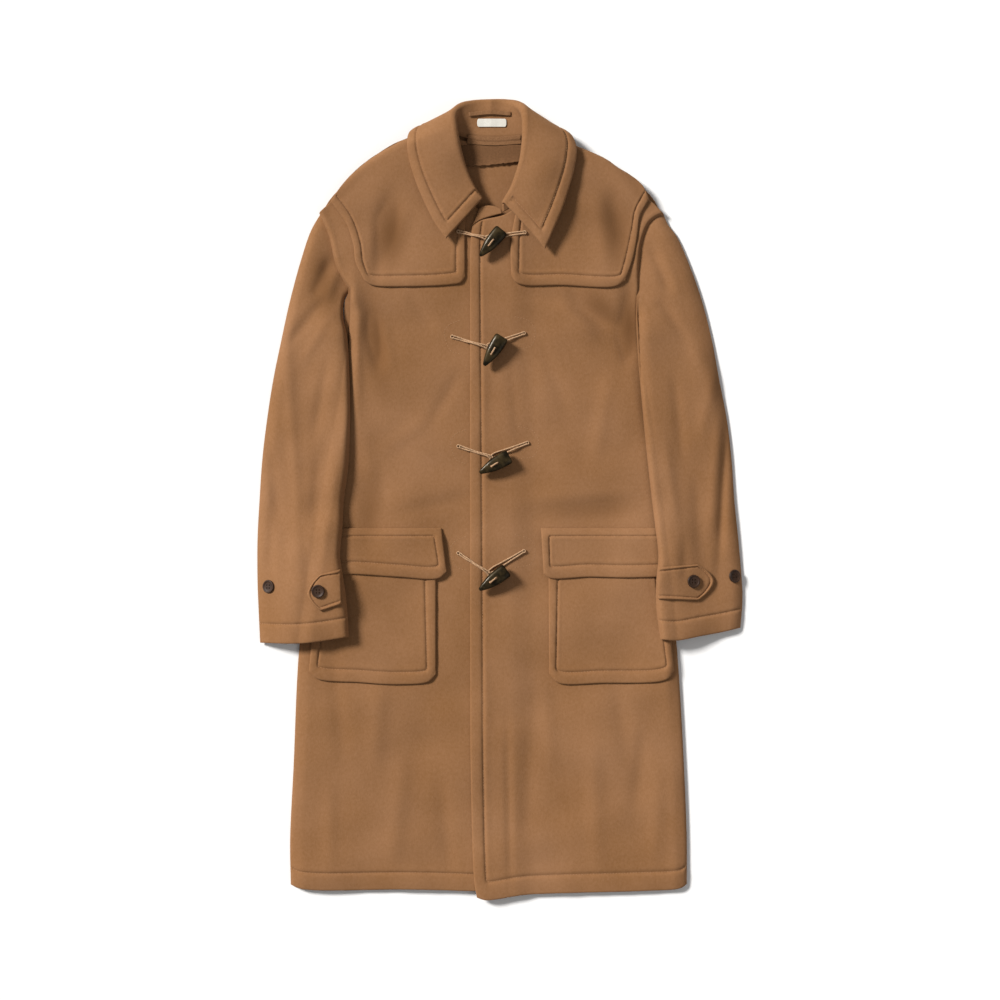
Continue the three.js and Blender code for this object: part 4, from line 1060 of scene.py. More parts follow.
# %% Edges of the fronts, the back and the yokes
CENTRE_LEFT = (UNDER_EDGE, 411)
left_neck = front_neck([0, 1, 2, 3, 4, 4.5])
right_neck = front_neck([11.5, 12, 13, 14, 15, 16])
left_shoulder = tucked("left", TUCK)[:-1]
right_shoulder = tucked("right", TUCK)[:-1]
UNDER_EDGES = {
    "bottom": curve(HEM["under"]),
    "top": joined(curve(left_shoulder + [left_neck[-1]]),
                  curve(([CENTRE_LEFT, (-14, 414)] + left_neck)[::-1]), 0.72),
    "left": body_side("left"),
    "right": curve([(UNDER_EDGE, -576), (UNDER_EDGE, 0), CENTRE_LEFT]),
}
OVER_EDGES = {
    "bottom": curve(HEM["over"]),
    "top": joined(curve([OVER_FRONT_EDGE[-1], (-28, 410.2)] + right_neck[::-1]),
                  curve([right_neck[0]] + right_shoulder[::-1]), 0.5),
    "left": curve(OVER_FRONT_EDGE),
    "right": body_side("right"),
}
back_neck = [(station(i / LAST)["nx"], station(i / LAST)["ny"] - NECK_INSET)
             for i in (5.3, 6, 7, 8, 9, 10, 10.7)]
BACK_EDGES = {
    "bottom": curve(HEM["back"]),
    "top": joined(curve(left_shoulder + [back_neck[0]]),
                  joined(curve(back_neck), backwards(curve(right_shoulder + [back_neck[-1]])), 0.5),
                  1 / 3),
    "left": body_side("left", "back left"),
    "right": body_side("right"),
}
inner_shoulder = {
    side: [(px + sign * TUCK_WAY[0], py + TUCK_WAY[1]) for px, py in SHOULDER[side][1:-1]]
    for side, sign in (("left", 1), ("right", -1))
}
YOKE_BACK_EDGES = {
    "bottom": curve([(-217, 314), (-120, 306), (-10, 303), (100, 306), (200, 314)]),
    "top": curve([(-263, 421)] + inner_shoulder["left"]
                 + [(-118, 524), (-66, 522), (-12, 520), (42, 521), (92, 519)]
                 + inner_shoulder["right"][::-1] + [(238, 419)]),
    "left": curve([(-217, 314)] + [(px + 3, py) for px, py in ARMHOLE["left"][1:]]),
    "right": curve([(200, 314)] + [(px - 3, py) for px, py in ARMHOLE["right"][1:]]),
}
YOKE_OUTER = {
    "left": [(-199, 322), (-212, 349), (-215, 373), (-226, 406), (-249, 438)],
    "right": [(184, 322), (195, 354), (202, 391), (205, 415), (219, 442)],
}
YOKE_BOTTOM = {
    "left": [(-199, 322), (-187, 315), (-138, 313), (-70, 316), (-57, 319),
             (YOKE_FRONT["left"], 328)],
    "right": [(YOKE_FRONT["right"], 330), (22, 320), (35, 315), (90, 315), (168, 313), (184, 322)],
}
yoke_neck = front_neck([5, 4, 3, 2, 1], YOKE_NECK_INSET)
yoke_neck_right = front_neck([15, 14, 13, 12, 11], YOKE_NECK_INSET)
YOKE_EDGES = {
    "left": {
        "bottom": curve(YOKE_BOTTOM["left"]),
        "top": joined(curve([YOKE_OUTER["left"][-1]] + SHOULDER["left"][2:-1] + [yoke_neck[0]]),
                      curve(yoke_neck), 0.6),
        "left": curve(YOKE_OUTER["left"]),
        "right": curve([YOKE_BOTTOM["left"][-1], (YOKE_FRONT["left"], 400), yoke_neck[-1]]),
    },
    "right": {
        "bottom": curve(YOKE_BOTTOM["right"]),
        "top": joined(curve(yoke_neck_right),
                      curve([yoke_neck_right[-1]]
                            + ([YOKE_OUTER["right"][-1]] + SHOULDER["right"][2:-1])[::-1]), 0.4),
        "left": curve([YOKE_BOTTOM["right"][0], (YOKE_FRONT["right"], 380), yoke_neck_right[0]]),
        "right": curve(YOKE_OUTER["right"]),
    },
}
BAG = {
    "left": ([(-281, -252), (-268, -263), (-207, -268), (-150, -271), (-105, -267), (-94, -256)],
             [(-263, BAG_TOP), (-94, BAG_TOP)]),
    "right": ([(72, -256), (86, -269), (150, -269), (232, -267), (247, -262), (256, -250)],
              [(71, BAG_TOP), (236, BAG_TOP)]),
}
FLAP = {
    "left": ([(-267, -109), (-213, -109), (-150, -113), (-90, -115), (-78, -105)],
             [(-262, FLAP_TOP), (-86, FLAP_TOP)]),
    "right": ([(64, -109), (74, -115), (130, -113), (180, -114), (238, -113)],
              [(60, FLAP_TOP), (233, FLAP_TOP)]),
}


# %% Edges of the pockets, sleeves and tabs
def sewn_on(bottom, top):
    return {"bottom": curve(bottom), "top": curve(top), "left": curve([bottom[0], top[0]]),
            "right": curve([bottom[-1], top[-1]])}


def sleeve_edges(side):
    is_left = side == "left"
    seam = beside(curve(ARMHOLE[side]), -SEAM_LAP if is_left else SEAM_LAP)
    outer = backwards(curve([tuple(seam(1.0))] + SLEEVE_OUTER[side][1:]))
    closed = [(x - (0 if is_left else SEAM_LAP * float(smooth(190, 240, y))), y)
              for x, y in SLEEVE_INNER[side][1:]]
    inner = backwards(curve([tuple(seam(0.0))] + closed))
    cuff = curve(CUFF[side])
    return {"bottom": cuff if is_left else backwards(cuff),
            "top": backwards(seam) if is_left else seam,
            "left": outer if is_left else inner,
            "right": inner if is_left else outer}


CUFF_TAB = {
    "left": ([(-233, -101), (-231, -152)], [(-262, -108), (-262, -162)], (-281, -137)),
    "right": ([(231, -145), (231, -98)], [(292, -147), (290, -94)], (315, -118)),
}


def tab_edges(side):
    root, tip, nose = CUFF_TAB[side]
    low, high = (1, 0) if side == "left" else (0, 1)

    def turn(point):
        return (point[0] + 0.7 * (nose[0] - point[0]), point[1] + 0.5 * (nose[1] - point[1]))

    end = curve([tip[low], turn(tip[low]), nose, turn(tip[high]), tip[high]])
    start = curve([root[low], root[high]])
    if side == "left":
        return {"bottom": curve([tip[low], root[low]]), "top": curve([tip[high], root[high]]),
                "left": end, "right": start}
    return {"bottom": curve([root[low], tip[low]]), "top": curve([root[high], tip[high]]),
            "left": start, "right": end}


# %% Heights that show
def seen(height):
    return lambda x, y: height(x, y) + body_fine(x, y)


def front_seen(height):
    """A front's face, with the turned seam that stands proud along the armhole."""
    def face(x, y):
        lip = np.exp(-(((from_armhole(x, y) - 5) / 3.5) ** 2)) * smooth(ARMPIT + 6, ARMPIT + 46, y)
        return height(x, y) + body_fine(x, y) + LIP * lip
    return face


def side_level(rise):
    return lambda x, y: back_top(x, y) + LAY / 2 + rise


def front_level(x, y):
    """Where a front's outer edge ends: low at the side, on the sleeve at the armhole."""
    up = smooth(ARMPIT - 6, ARMPIT + 30, y)
    return side_level(0.15)(x, y) * (1 - up) + (sleeve_seen(x, y) - 0.3) * up


def sleeve_level(rise):
    """Where the two halves of a sleeve meet, or a little above or below."""
    return lambda x, y: sleeve_base(x, y) + WOOL + LAY / 2 + rise


def tab_seen(x, y):
    return sleeve_seen(x, y) + LAYER


def plain(height):
    return lambda x, y: height(x, y) + WOOL


# %% Laying a sheet in its place
THREADS = []
RISE_AND_FALL, ROOM = 1.01, 1 * MM


def fit(obj, node, finish):
    """Gives a piece its node's place on the coat's one body. finish is not used."""
    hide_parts(node)
    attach(obj, "root")


def extent(obj, axis):
    places = [vertex.co[axis] for vertex in obj.data.vertices]
    return max(places) - min(places)


def lay(name, edges, size, counts, top, rests_on, finish="wool", **more):
    obj, area, rows = cloth(name + "_cloth", edges, size, counts, top,
                            material=MATERIALS[finish], **more)
    THREADS.extend(rows)
    fit(obj, name, finish)
    wide, long = (extent(obj, axis) * RISE_AND_FALL + ROOM for axis in (0, 1))
    fuller = max(1, 1.005 * area / (wide * long))
    flat_size = (round(wide * fuller, 4), round(long, 4))
    print(f"{name}: {len(obj.data.polygons) * 2} triangles, cut {flat_size}, area {area:.4f}")


# %% Back and fronts
SIDE_RUN, OUTER_SEAM_RUN = 7, 16
lay("back", BACK_EDGES, (560, 1000), (50, 90), plain(back_lift), ["floor"],
    seams={"left": (SIDE_RUN, side_level(-0.15)), "right": (SIDE_RUN, side_level(-0.15))})
lay("yoke_back", YOKE_BACK_EDGES, (440, 200), (50, 24), plain(leaf_lift), ["floor"])
lay("front_under", UNDER_EDGES, (300, 985), (74, 230), front_seen(under_top), ["back"],
    stitched={"bottom": 25, "right": 17}, seams={"left": (SIDE_RUN, front_level)})
lay("front_over", OVER_EDGES, (310, 1000), (78, 240), front_seen(over_top), ["back", "front_under"],
    stitched={"left": 19, "bottom": 27}, seams={"right": (SIDE_RUN, front_level)}, rim=2.2)

# %% Yokes, sleeves, pockets and tabs
for side in ("left", "right"):
    is_left = side == "left"
    front = "front_under" if is_left else "front_over"
    lay(f"yoke_{side}", YOKE_EDGES[side], (170, 170), (60, 60), seen(yoke_top), [front],
        stitched={"bottom": 16, "right" if is_left else "left": 17, "left" if is_left else "right": 13},
        rim=2)
    edges = sleeve_edges(side)
    outer, inner = ("left", "right") if is_left else ("right", "left")
    lay(f"under_sleeve_{side}", edges, (125, 590), (34, 100), plain(sleeve_base),
        ["floor", front], seams={outer: (14, sleeve_level(-0.2)), inner: (10, sleeve_level(-0.2))})
    lay(f"upper_sleeve_{side}", edges, (125, 590), (56, 190), sleeve_seen, [f"under_sleeve_{side}"],
        stitched={"bottom": 28}, rim=2.6,
        seams={outer: (OUTER_SEAM_RUN, sleeve_level(0.2)), inner: (8, sleeve_level(0.2))})
    lay(f"pocket_{side}", sewn_on(*BAG[side]), (172, 200), (52, 60), seen(bag_top), [front],
        stitched={"bottom": 18, "left": 15, "right": 17 if is_left else 14}, rim=2)
    lay(f"pocket_flap_{side}", sewn_on(*FLAP[side]), (175, 72), (52, 30), seen(flap_top),
        [f"pocket_{side}", front],
        stitched={"bottom": 18, "top": 12, "right" if is_left else "left": 12}, rim=2)
    lay(f"cuff_tab_{side}", tab_edges(side), (48 if is_left else 78, 52), (26, 26),
        tab_seen, [f"upper_sleeve_{side}"],
        stitched={"bottom": 5, "top": 5, "left" if is_left else "right": 5}, rim=2)

# %% Collar and the end of its stand
collar, collar_area, collar_rows = collar_sheet("collar_cloth", 210, MATERIALS["wool"])
THREADS.extend(collar_rows)
fit(collar, "collar", "wool")
print(f"collar: {len(collar.data.polygons) * 2} triangles, area {collar_area:.4f}")

lay("collar_stand", sewn_on(STAND_END["bottom"], STAND_END["top"]), (46, 20), (36, 22), seen(over_top),
    ["front_over"], rim=1.8)

# %% [markdown]
# ## Inside of the neck
# A tape covers the neck seam, a small blank label and the hanger loop are sewn above it, and
# the facing below it ends in a raw edge that has curled a little.

# %% What the neck pieces lie on
ROLL_STEPS, LEAF_STEPS, STAND_ROWS = 4, 4, 4
stand = np.array([collar_section(s, ROLL_STEPS, np.linspace(0, 1, LEAF_STEPS + 1)[1:])
                  for s in EDGE_AT]).transpose(1, 0, 2)[:STAND_ROWS]


def stand_top(x, y):
    """Height of the collar's stand where it lies under a point, and 0 elsewhere."""
    height = np.zeros(np.shape(x))
    a, b = stand[:-1, :-1], stand[:-1, 1:]
    c, d = stand[1:, 1:], stand[1:, :-1]
    for first, second, third in ((a, b, c), (a, c, d)):
        for p, q, r in zip(first.reshape(-1, 3), second.reshape(-1, 3), third.reshape(-1, 3)):
            area = (q[0] - p[0]) * (r[1] - p[1]) - (r[0] - p[0]) * (q[1] - p[1])
            if abs(area) < 1e-6:
                continue
            s = ((x - p[0]) * (r[1] - p[1]) - (r[0] - p[0]) * (y - p[1])) / area
            t = ((q[0] - p[0]) * (y - p[1]) - (x - p[0]) * (q[1] - p[1])) / area
            level = p[2] + s * (q[2] - p[2]) + t * (r[2] - p[2]) + COLLAR_WALL / 2 + 0.3
            within = (s > -0.02) & (t > -0.02) & (s + t < 1.02)
            height = np.where(within, np.maximum(height, level), height)
    return height


def neck_top(x, y):
    return np.maximum(stand_top(x, y), back_top(x, y))


def strip_edges(points, width, corner=0):
    """A strip along a line, with its corners cut back to a round where one is given."""
    line = curve(points)
    bottom, top = beside(line, -width / 2), beside(line, width / 2)

    def end(share, out):
        low, high = bottom(share), top(share)
        if not corner:
            return curve([tuple(low), tuple(high)])
        over, up = np.array([out * corner, 0]), np.array([0, corner])
        return curve([tuple(low), tuple(low + over + up), tuple(high + over - up), tuple(high)])

    return {"bottom": bottom, "top": top, "left": end(0.0, -1), "right": end(1.0, 1)}


def ragged(points, count, size):
    """The line of a raw edge: it wanders a little, and more in some places than in others."""
    line, dice = curve(points), np.random.default_rng(11)
    t = np.linspace(0, 1, count)
    rows = line(t)
    rows[1:-1, 1] += dice.uniform(-size, size, count - 2)
    return curve(rows)


# %% Tape, label, loop and facing
TAPE, FACING, LABEL = 1.0, 1.5, 0.6
lay("neck_tape", strip_edges([(-48, 529.5), (-9, 527), (31, 529.5)], 13), (79, 13), (60, 12),
    lambda x, y: neck_top(x, y) + LAY + 0.3 + TAPE, ["back_cloth"], "tape", wall=TAPE, rim=0.6)
lay("neck_label", strip_edges([(-31.4, 554), (7.4, 554)], 12, 1.6), (42, 12), (40, 14),
    lambda x, y: neck_top(x, y) + LAY + LABEL, ["collar_cloth"], "label", wall=LABEL, rim=0.4)
lay("hanger_loop", strip_edges([(-46, 566), (-14, 569), (16, 567)], 6), (62, 6), (50, 10),
    lambda x, y: neck_top(x, y) + LAY + TAPE + 2.4 * rounded(1 - np.abs(x + 15) / 31),
    ["collar_cloth"], "tape", wall=TAPE, rim=0.6)
FACING_EDGE = [(-66, 498), (-51, 491), (-10, 492), (29, 497), (46, 500)]


def facing_top(x, y):
    drop = y - np.interp(x, [p[0] for p in FACING_EDGE], [p[1] for p in FACING_EDGE])
    curl = 3.4 * np.exp(-np.maximum(drop, 0) / 5) * (0.75 + 0.25 * np.sin(x / 4.1) * np.sin(x / 9 + 1))
    return back_top(x, y) + LAY + FACING + curl


lay("neck_facing",
    {"bottom": ragged(FACING_EDGE, 34, 0.9),
     "top": curve([(-64, 517), (-46, 521.5), (-9, 519.5), (30, 521.5), (44, 517)]),
     "left": curve([(-66, 498), (-64, 517)]), "right": curve([(46, 500), (44, 517)])},
    (112, 26), (110, 20), facing_top, ["back_cloth"], "lining", wall=FACING, rim=0.7)


# %% [markdown]
# ## Toggles, cords and buttons
# A toggle is a piece of horn, pointed at one end, with two holes. Its cord comes from the
# front under it, goes up through one hole, over the middle and down the other. The loop that
# holds it lies on the lapped front and goes round the toggle's cord. The cords are twisted
# from two strands.

# %% Fastenings: anchors on both fronts, middle of the toggle, heading in degrees
FASTENINGS = [
    (-61, 394, 36, 392, -13, 376, 50), (-70, 240, 35, 245, -10, 218, 58),
    (-61, 79, 40, 84, -8, 52, 29), (-61, -78, 35, -75, -10, -117, 36),
]
CORD, STRAND_GAP, BIGHT_OUT, HOLE_PITCH, HOLE_R = 2.6, 3.8, 13, 10, 2.8
TOGGLE_LENGTH, TOGGLE_WIDTH, TOGGLE_THICK, TOGGLE_SQUARE = 50, 19, 12, 0.74
CORD_AT, OVER_CORD = CORD / 2 + LAY / 4, CORD - LAY / 2


def cloth_top(x, y):
    x, y = np.asarray(x, float), np.asarray(y, float)
    on_yoke = (x < YOKE_FRONT["left"]) | (x > YOKE_FRONT["right"])
    upper = np.where(on_yoke, yoke_top(x, y), over_top(x, y))
    top = np.where(y > YOKE_HEM - 2, np.maximum(upper, front_top(x, y)), front_top(x, y))
    return top + body_fine(x, y)


NEAR_BY = ((0, 0), (4, 0), (-4, 0), (0, 4), (0, -4))


def cord_floor(x, y):
    """The highest cloth under a cord: a cord bridges narrow grooves."""
    return max(float(cloth_top(x + dx, y + dy)) for dx, dy in NEAR_BY)


# %% Cords
STRAND_R, STRAND_OUT, STRAND_SIDES, TWIST, CORD_STEP = 0.78, 0.62, 7, 4.6, 0.8
KNOT_R, KNOT_THREAD, KNOT_STEPS = 2.3, 0.75, 60


def swept(path, radius, sides, centre):
    """Rings along a path, each round its own centre."""
    way = np.gradient(path, axis=0)
    way /= np.linalg.norm(way, axis=1, keepdims=True)
    normal = np.cross(way[0], (0.3, 0.2, 0.9))
    normals = []
    for w in way:
        normal = normal - w * (normal @ w)
        normal /= np.linalg.norm(normal)
        normals.append(normal)
    normals = np.array(normals)
    binormals = np.cross(way, normals)
    angle = np.linspace(0, 2 * math.pi, sides, endpoint=False)
    middles = path + centre(normals, binormals)
    return middles[:, None] + radius * (normals[:, None] * np.cos(angle)[None, :, None]
                                        + binormals[:, None] * np.sin(angle)[None, :, None])


def tube_quads(rows, sides, start=0):
    n = np.arange(rows * sides).reshape(rows, sides) + start
    m = np.roll(n, -1, axis=1)
    return np.stack([n[:-1].ravel(), m[:-1].ravel(), m[1:].ravel(), n[1:].ravel()], 1)


def twisted(points):
    """A cord twisted from two strands, as points and quads."""
    line = curve(points)
    rough = line(np.linspace(0, 1, 400))
    length = np.linalg.norm(np.diff(rough, axis=0), axis=1).sum()
    path = line(np.linspace(0, 1, int(length / CORD_STEP)))
    turn = np.linspace(0, 2 * math.pi * length / TWIST, len(path))
    vertices, quads = [], []
    for start in (0, math.pi):
        c, s = np.cos(turn + start)[:, None], np.sin(turn + start)[:, None]
        rings = swept(path, STRAND_R, STRAND_SIDES, lambda n, b: STRAND_OUT * (n * c + b * s))
        quads.append(tube_quads(len(path), STRAND_SIDES, sum(len(v) for v in vertices)))
        vertices.append(rings.reshape(-1, 3))
    return vertices, quads, length


def eyelet(x, y):
    """The knot that holds a cord's end on the cloth: two turns of a strand."""
    angle = np.linspace(0, 4 * math.pi, KNOT_STEPS)
    ring = np.stack([x + KNOT_R * np.cos(angle), y + KNOT_R * np.sin(angle),
                     cord_floor(x, y) + 0.6 + angle * 0.09], 1)
    rings = swept(ring, KNOT_THREAD, STRAND_SIDES, lambda n, b: 0)
    return rings.reshape(-1, 3), tube_quads(KNOT_STEPS, STRAND_SIDES)


def cord_piece(name, points, anchors):
    vertices, quads, length = twisted(points)
    for x, y in anchors:
        more, faces = eyelet(x, y)
        quads.append(faces + sum(len(v) for v in vertices))
        vertices.append(more)
    obj = mesh_from(name + "_twisted", np.vstack(vertices) * MM, np.vstack(quads), MATERIALS["cord"])
    fit(obj, name, "cord")
    print(f"{name}: {length:.0f} mm of cord")


# %% Solids with bored holes
def turned(name, rings, finish):
    """A closed solid from rings of points. A flat face shuts each end."""
    count, sides = rings.shape[:2]
    last = (count - 1) * sides
    faces = tube_quads(count, sides).tolist()
    faces += [list(range(sides))[::-1], list(range(last, last + sides))]
    mesh = bpy.data.meshes.new(name)
    mesh.from_pydata((rings.reshape(-1, 3) * MM).tolist(), [], faces)
    mesh.update()
    obj = bpy.data.objects.new(name, mesh)
    bpy.context.collection.objects.link(obj)
    obj.data.materials.append(MATERIALS[finish])
    return obj


def bored(obj, cutters):
    """Cuts the shape of every cutter out of the object and removes the cutters."""
    bpy.context.view_layer.update()
    for cutter in cutters:
        modifier = obj.modifiers.new("bore", "BOOLEAN")
        modifier.object = cutter
        modifier.solver = "EXACT"
    made = bpy.data.meshes.new_from_object(obj.evaluated_get(bpy.context.evaluated_depsgraph_get()))
    obj.modifiers.clear()
    obj.data = made
    for cutter in cutters:
        bpy.data.objects.remove(cutter)


def bore(x, y, z, radius, depth, sides):
    bpy.ops.mesh.primitive_cylinder_add(radius=radius * MM, depth=depth * MM, vertices=sides,
                                        location=(x * MM, y * MM, z * MM))
    return bpy.context.object


def polished(obj, node, finish, sharp):
    """Smooth faces with sharp edges from an angle in degrees on."""
    obj.data.polygons.foreach_set("use_smooth", np.ones(len(obj.data.polygons), bool))
    obj.data.set_sharp_from_angle(angle=math.radians(sharp))
    fit(obj, node, finish)


# %% Toggle shape: place along the toggle, width and thickness as shares
TOGGLE_RINGS = [(-0.5, 0.17, 0.26), (-0.47, 0.3, 0.42), (-0.4, 0.45, 0.58), (-0.26, 0.7, 0.77),
                (-0.04, 1, 0.96), (0.18, 1.12, 1), (0.4, 1.14, 0.97), (0.465, 1.08, 0.88),
                (0.492, 0.95, 0.74), (0.5, 0.78, 0.58)]
TOGGLE_STEPS, TOGGLE_SIDES, TOGGLE_SHARP = 44, 30, 38


def squared(share):
    """A sine or cosine drawn out, so that a round section gets flatter sides."""
    return np.sign(share) * np.abs(share) ** TOGGLE_SQUARE


def toggle(name, x, y, z, turn):
    rings = curve(TOGGLE_RINGS)(np.linspace(0, 1, TOGGLE_STEPS))
    angle = np.linspace(0, 2 * math.pi, TOGGLE_SIDES, endpoint=False)
    along = rings[:, :1] * TOGGLE_LENGTH + 0 * angle[None]
    wide = rings[:, 1:2] * TOGGLE_WIDTH / 2 * squared(np.cos(angle))
    high = rings[:, 2:3] * TOGGLE_THICK / 2 * squared(np.sin(angle))
    c, s = math.cos(math.radians(turn)), math.sin(math.radians(turn))
    points = np.stack([x + along * c - wide * s, y + along * s + wide * c, z + high], -1)
    obj = turned(name + "_horn", points, "horn")
    bored(obj, [bore(x + e * HOLE_PITCH / 2 * c, y + e * HOLE_PITCH / 2 * s, z, HOLE_R - 0.6, 40, 24)
                for e in (-1, 1)])
    polished(obj, name, "horn", TOGGLE_SHARP)


# %% One fastening: a toggle, its cord and its loop
UNDER_TOGGLE = (-0.5, -0.25, 0, 0.25, 0.5)
CORD_WAY = (0, 0.15, 0.3, 0.45, 0.62)
LOOP_WAY = ((0, 0.8), (0.18, 0.9), (0.36, 1), (0.6, 1.3), (0.88, 1.5))


def place(p, z):
    return (p[0], p[1], z)


def over(p, least=0):
    """A point of a cord where it lies on the cloth, or higher where it has to."""
    return place(p, max(cord_floor(*p) + CORD_AT, least))


def fasten(i, lx, ly, rx, ry, x, y, turn):
    axis = np.array([math.cos(math.radians(turn)), math.sin(math.radians(turn))])
    crosswise = np.array([-axis[1], axis[0]])
    middle = np.array([x, y], float)
    floor = max(cord_floor(*(middle + axis * share * TOGGLE_LENGTH)) for share in UNDER_TOGGLE)
    loop_at = floor + CORD_AT
    cord_at = loop_at + OVER_CORD
    toggle_at = cord_at + CORD / 2 + LAY / 2 + TOGGLE_THICK / 2
    bight = middle + crosswise * BIGHT_OUT
    toggle(f"toggle_{i}", x, y, toggle_at, turn)

    def strand(end):
        hole = middle + axis * end * HOLE_PITCH / 2
        left = np.array([lx, ly + end * STRAND_GAP / 2])
        way = [over(left + (bight - left) * t, cord_at if t > 0.5 else 0) for t in CORD_WAY]
        return way + [place(bight + axis * end * STRAND_GAP / 2, cord_at),
                      place(bight + (hole - bight) * 0.66, cord_at - 0.2),
                      place(hole, cord_at + 1.8), place(hole, toggle_at),
                      place(hole, toggle_at + TOGGLE_THICK / 2 + 0.6)]

    crown = place(middle, toggle_at + TOGGLE_THICK / 2 + CORD / 2 + 1.2)
    cord_piece(f"toggle_cord_{i}", strand(1) + [crown] + strand(-1)[::-1], [(lx, ly)])
    right = np.array([rx, ry], float)
    run = (bight - right) / np.linalg.norm(bight - right)
    wide = np.array([-run[1], run[0]])

    def leg(end):
        return [over(right + (bight - right) * t + wide * end * spread * STRAND_GAP / 2,
                     0 if t < 0.25 else loop_at)
                for t, spread in LOOP_WAY]

    tip = place(bight + run * 1.5, loop_at)
    cord_piece(f"toggle_loop_{i}", leg(1) + [tip] + leg(-1)[::-1], [(rx, ry)])


for number, row in enumerate(FASTENINGS, 1):
    fasten(number, *row)


# %% Buttons: radius and height of the turned profile
BUTTON_PROFILE = [(7.6, 0), (8.9, 0.5), (9.7, 1.5), (9.7, 2.5), (9.2, 3.3), (8.6, 3.6), (7.9, 3.5),
                  (7.2, 3.0), (6.6, 2.6), (5.6, 2.45)]
BUTTON_SIDES, BUTTON_SHARP = 40, 35
BUTTONS = {"left": [(-265, -133), (-339, -127)], "right": [(283, -119), (344, -112)]}
BUTTON_HOLE_R, BUTTON_HOLE_AT = 1.0, 2.1


def button(name, x, y, top, reach, lean=0):
    """A button that leans the way its cloth does, lean millimetres farther out."""
    slope_x = float(top(x + lean + reach, y) - top(x + lean - reach, y)) / (2 * reach)
    slope_y = float(top(x, y + reach) - top(x, y - reach)) / (2 * reach)
    up = Vector((-slope_x, -slope_y, 1)).normalized()
    tilt = Vector((0, 0, 1)).rotation_difference(up).to_matrix().to_4x4()
    middle = np.array([x, y, float(top(x, y)) + 0.3 - abs(lean) / 4])
    angle = np.linspace(0, 2 * math.pi, BUTTON_SIDES, endpoint=False)
    rings = np.array([[(r * math.cos(a), r * math.sin(a), z) for a in angle]
                      for r, z in BUTTON_PROFILE])
    obj = turned(name + "_turned", rings, "button")
    bored(obj, [bore(sx * BUTTON_HOLE_AT, sy * BUTTON_HOLE_AT, 0, BUTTON_HOLE_R, 20, 16)
                for sx in (-1, 1) for sy in (-1, 1)])
    obj.data.transform(tilt)
    obj.data.transform(Matrix.Translation(Vector(middle * MM)))
    polished(obj, name, "button", BUTTON_SHARP)


def sleeve_skin(x, y):
    """A sleeve's face where it rolls down to its outer seam."""
    seam = sleeve_level(0.2)(x, y)
    share = rounded(np.maximum(from_outer(x, y), 0) / OUTER_SEAM_RUN)
    return seam + (sleeve_seen(x, y) - seam) * share


for side, out in (("left", -4), ("right", 4)):
    on_tab, on_edge = BUTTONS[side]
    button(f"cuff_button_{side}_1", *on_tab, tab_seen, 6)
    button(f"cuff_button_{side}_2", *on_edge, sleeve_skin, 4, out)


# %% [markdown]
# ## Stitches
# One stitch is a short round thread. Geometry Nodes sets it again and again along every row,
# turned to the row's run, and the rows round the cords' ends are half rounds on the fronts.

# %% Rows round the cords' ends, from the anchor
RIGHT_PATCH = [(-12, 24), (8, 18), (16, 6), (16, -7), (10, -19), (-12, -24)]
LEFT_PATCH = [(10, 24), (-5, 17), (-12, 7), (-10, -4), (-2, -21), (10, -25)]
for lx, ly, rx, ry, *_ in FASTENINGS[1:]:
    for ax, ay, patch in ((lx, ly, LEFT_PATCH), (rx, ry, RIGHT_PATCH)):
        rows = curve([(ax + px, ay + py) for px, py in patch])(np.linspace(0, 1, 40))
        THREADS.append(np.column_stack([rows, cloth_top(rows[:, 0], rows[:, 1]) - 0.1]))


# %% Stitch rows by Geometry Nodes
def thread_material():
    paint = Paint("thread", Roughness=0.7, Specular_IOR_Level=0.3)
    fleck = paint.noise(300, 2)
    paint.use(Base_Color=paint.mix(fleck, colour(0.24, 0.12, 0.055), colour(0.4, 0.22, 0.11)))
    return paint.material


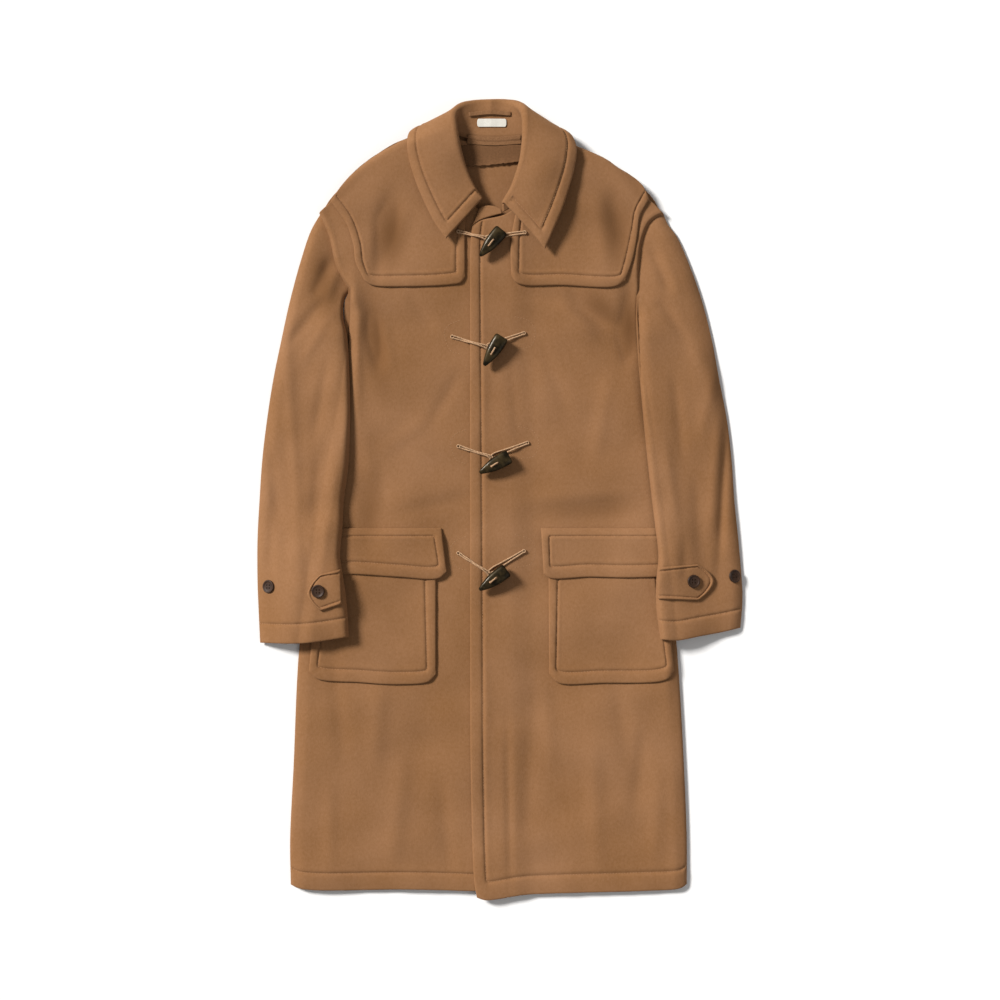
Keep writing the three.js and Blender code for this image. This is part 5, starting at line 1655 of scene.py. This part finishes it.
def stitch_nodes(material):
    tree = bpy.data.node_groups.new("stitch rows", "GeometryNodeTree")
    tree.interface.new_socket("Rows", in_out="INPUT", socket_type="NodeSocketGeometry")
    tree.interface.new_socket("Pitch", in_out="INPUT", socket_type="NodeSocketFloat")
    tree.interface.new_socket("Thread", in_out="INPUT", socket_type="NodeSocketFloat")
    tree.interface.new_socket("Stitches", in_out="OUTPUT", socket_type="NodeSocketGeometry")

    def node(kind, **settings):
        made = tree.nodes.new(kind)
        for key, value in settings.items():
            setattr(made, key, value)
        return made

    def link(a, out, b, into):
        tree.links.new(a.outputs[out], b.inputs[into])

    start, end = node("NodeGroupInput"), node("NodeGroupOutput")
    rows = node("GeometryNodeMeshToCurve")
    evenly = node("GeometryNodeResampleCurve", mode="LENGTH")
    run = node("GeometryNodeInputTangent")
    towards = node("FunctionNodeAlignRotationToVector", axis="X")
    bead = node("GeometryNodeMeshUVSphere")
    bead.inputs["Segments"].default_value = 8
    bead.inputs["Rings"].default_value = 5
    shaped = node("GeometryNodeTransform")
    shaped.inputs["Scale"].default_value = (3.4, 1, 0.9)
    set_down = node("GeometryNodeInstanceOnPoints")
    real = node("GeometryNodeRealizeInstances")
    coat = node("GeometryNodeSetMaterial")
    coat.inputs["Material"].default_value = material
    link(start, "Rows", rows, "Mesh")
    link(rows, "Curve", evenly, "Curve")
    link(start, "Pitch", evenly, "Length")
    link(run, "Tangent", towards, "Vector")
    link(start, "Thread", bead, "Radius")
    link(bead, "Mesh", shaped, "Geometry")
    link(evenly, "Curve", set_down, "Points")
    link(shaped, "Geometry", set_down, "Instance")
    link(towards, "Rotation", set_down, "Rotation")
    link(set_down, "Instances", real, "Geometry")
    link(real, "Geometry", coat, "Geometry")
    link(coat, "Geometry", end, "Stitches")
    return tree


def stitches(name, threads, pitch, thread):
    points, edges = [], []
    for row in threads:
        start = sum(len(p) for p in points)
        points.append(row)
        edges += [(start + k, start + k + 1) for k in range(len(row) - 1)]
    mesh = bpy.data.meshes.new(name + " rows")
    mesh.from_pydata((np.vstack(points) * MM).tolist(), edges, [])
    obj = bpy.data.objects.new(name, mesh)
    bpy.context.collection.objects.link(obj)
    tree = stitch_nodes(thread_material())
    modifier = obj.modifiers.new("stitches", "NODES")
    modifier.node_group = tree
    sockets = {s.name: s.identifier for s in tree.interface.items_tree if s.in_out == "INPUT"}
    modifier[sockets["Pitch"]] = pitch * MM
    modifier[sockets["Thread"]] = thread * MM
    bpy.context.view_layer.update()
    made = bpy.data.meshes.new_from_object(obj.evaluated_get(bpy.context.evaluated_depsgraph_get()))
    obj.modifiers.clear()
    obj.data = made
    made.polygons.foreach_set("use_smooth", np.ones(len(made.polygons), bool))
    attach(obj, "root")
    print(name, len(made.polygons), "faces in", len(threads), "rows")


STITCH_PITCH, THREAD_R = 4.2, 0.42
stitches("stitches", THREADS, STITCH_PITCH, THREAD_R)


# %% [markdown]
# ## The floor

# %% Floor
bpy.ops.mesh.primitive_plane_add(size=12, location=(0, 0, -0.0004))
floor = bpy.context.object
floor.name = "floor"
paper = bpy.data.materials.new("paper")
paper.use_nodes = True
paper.node_tree.nodes["Principled BSDF"].inputs["Base Color"].default_value = (0.86, 0.855, 0.85, 1)
paper.node_tree.nodes["Principled BSDF"].inputs["Roughness"].default_value = 0.9
floor.data.materials.append(paper)
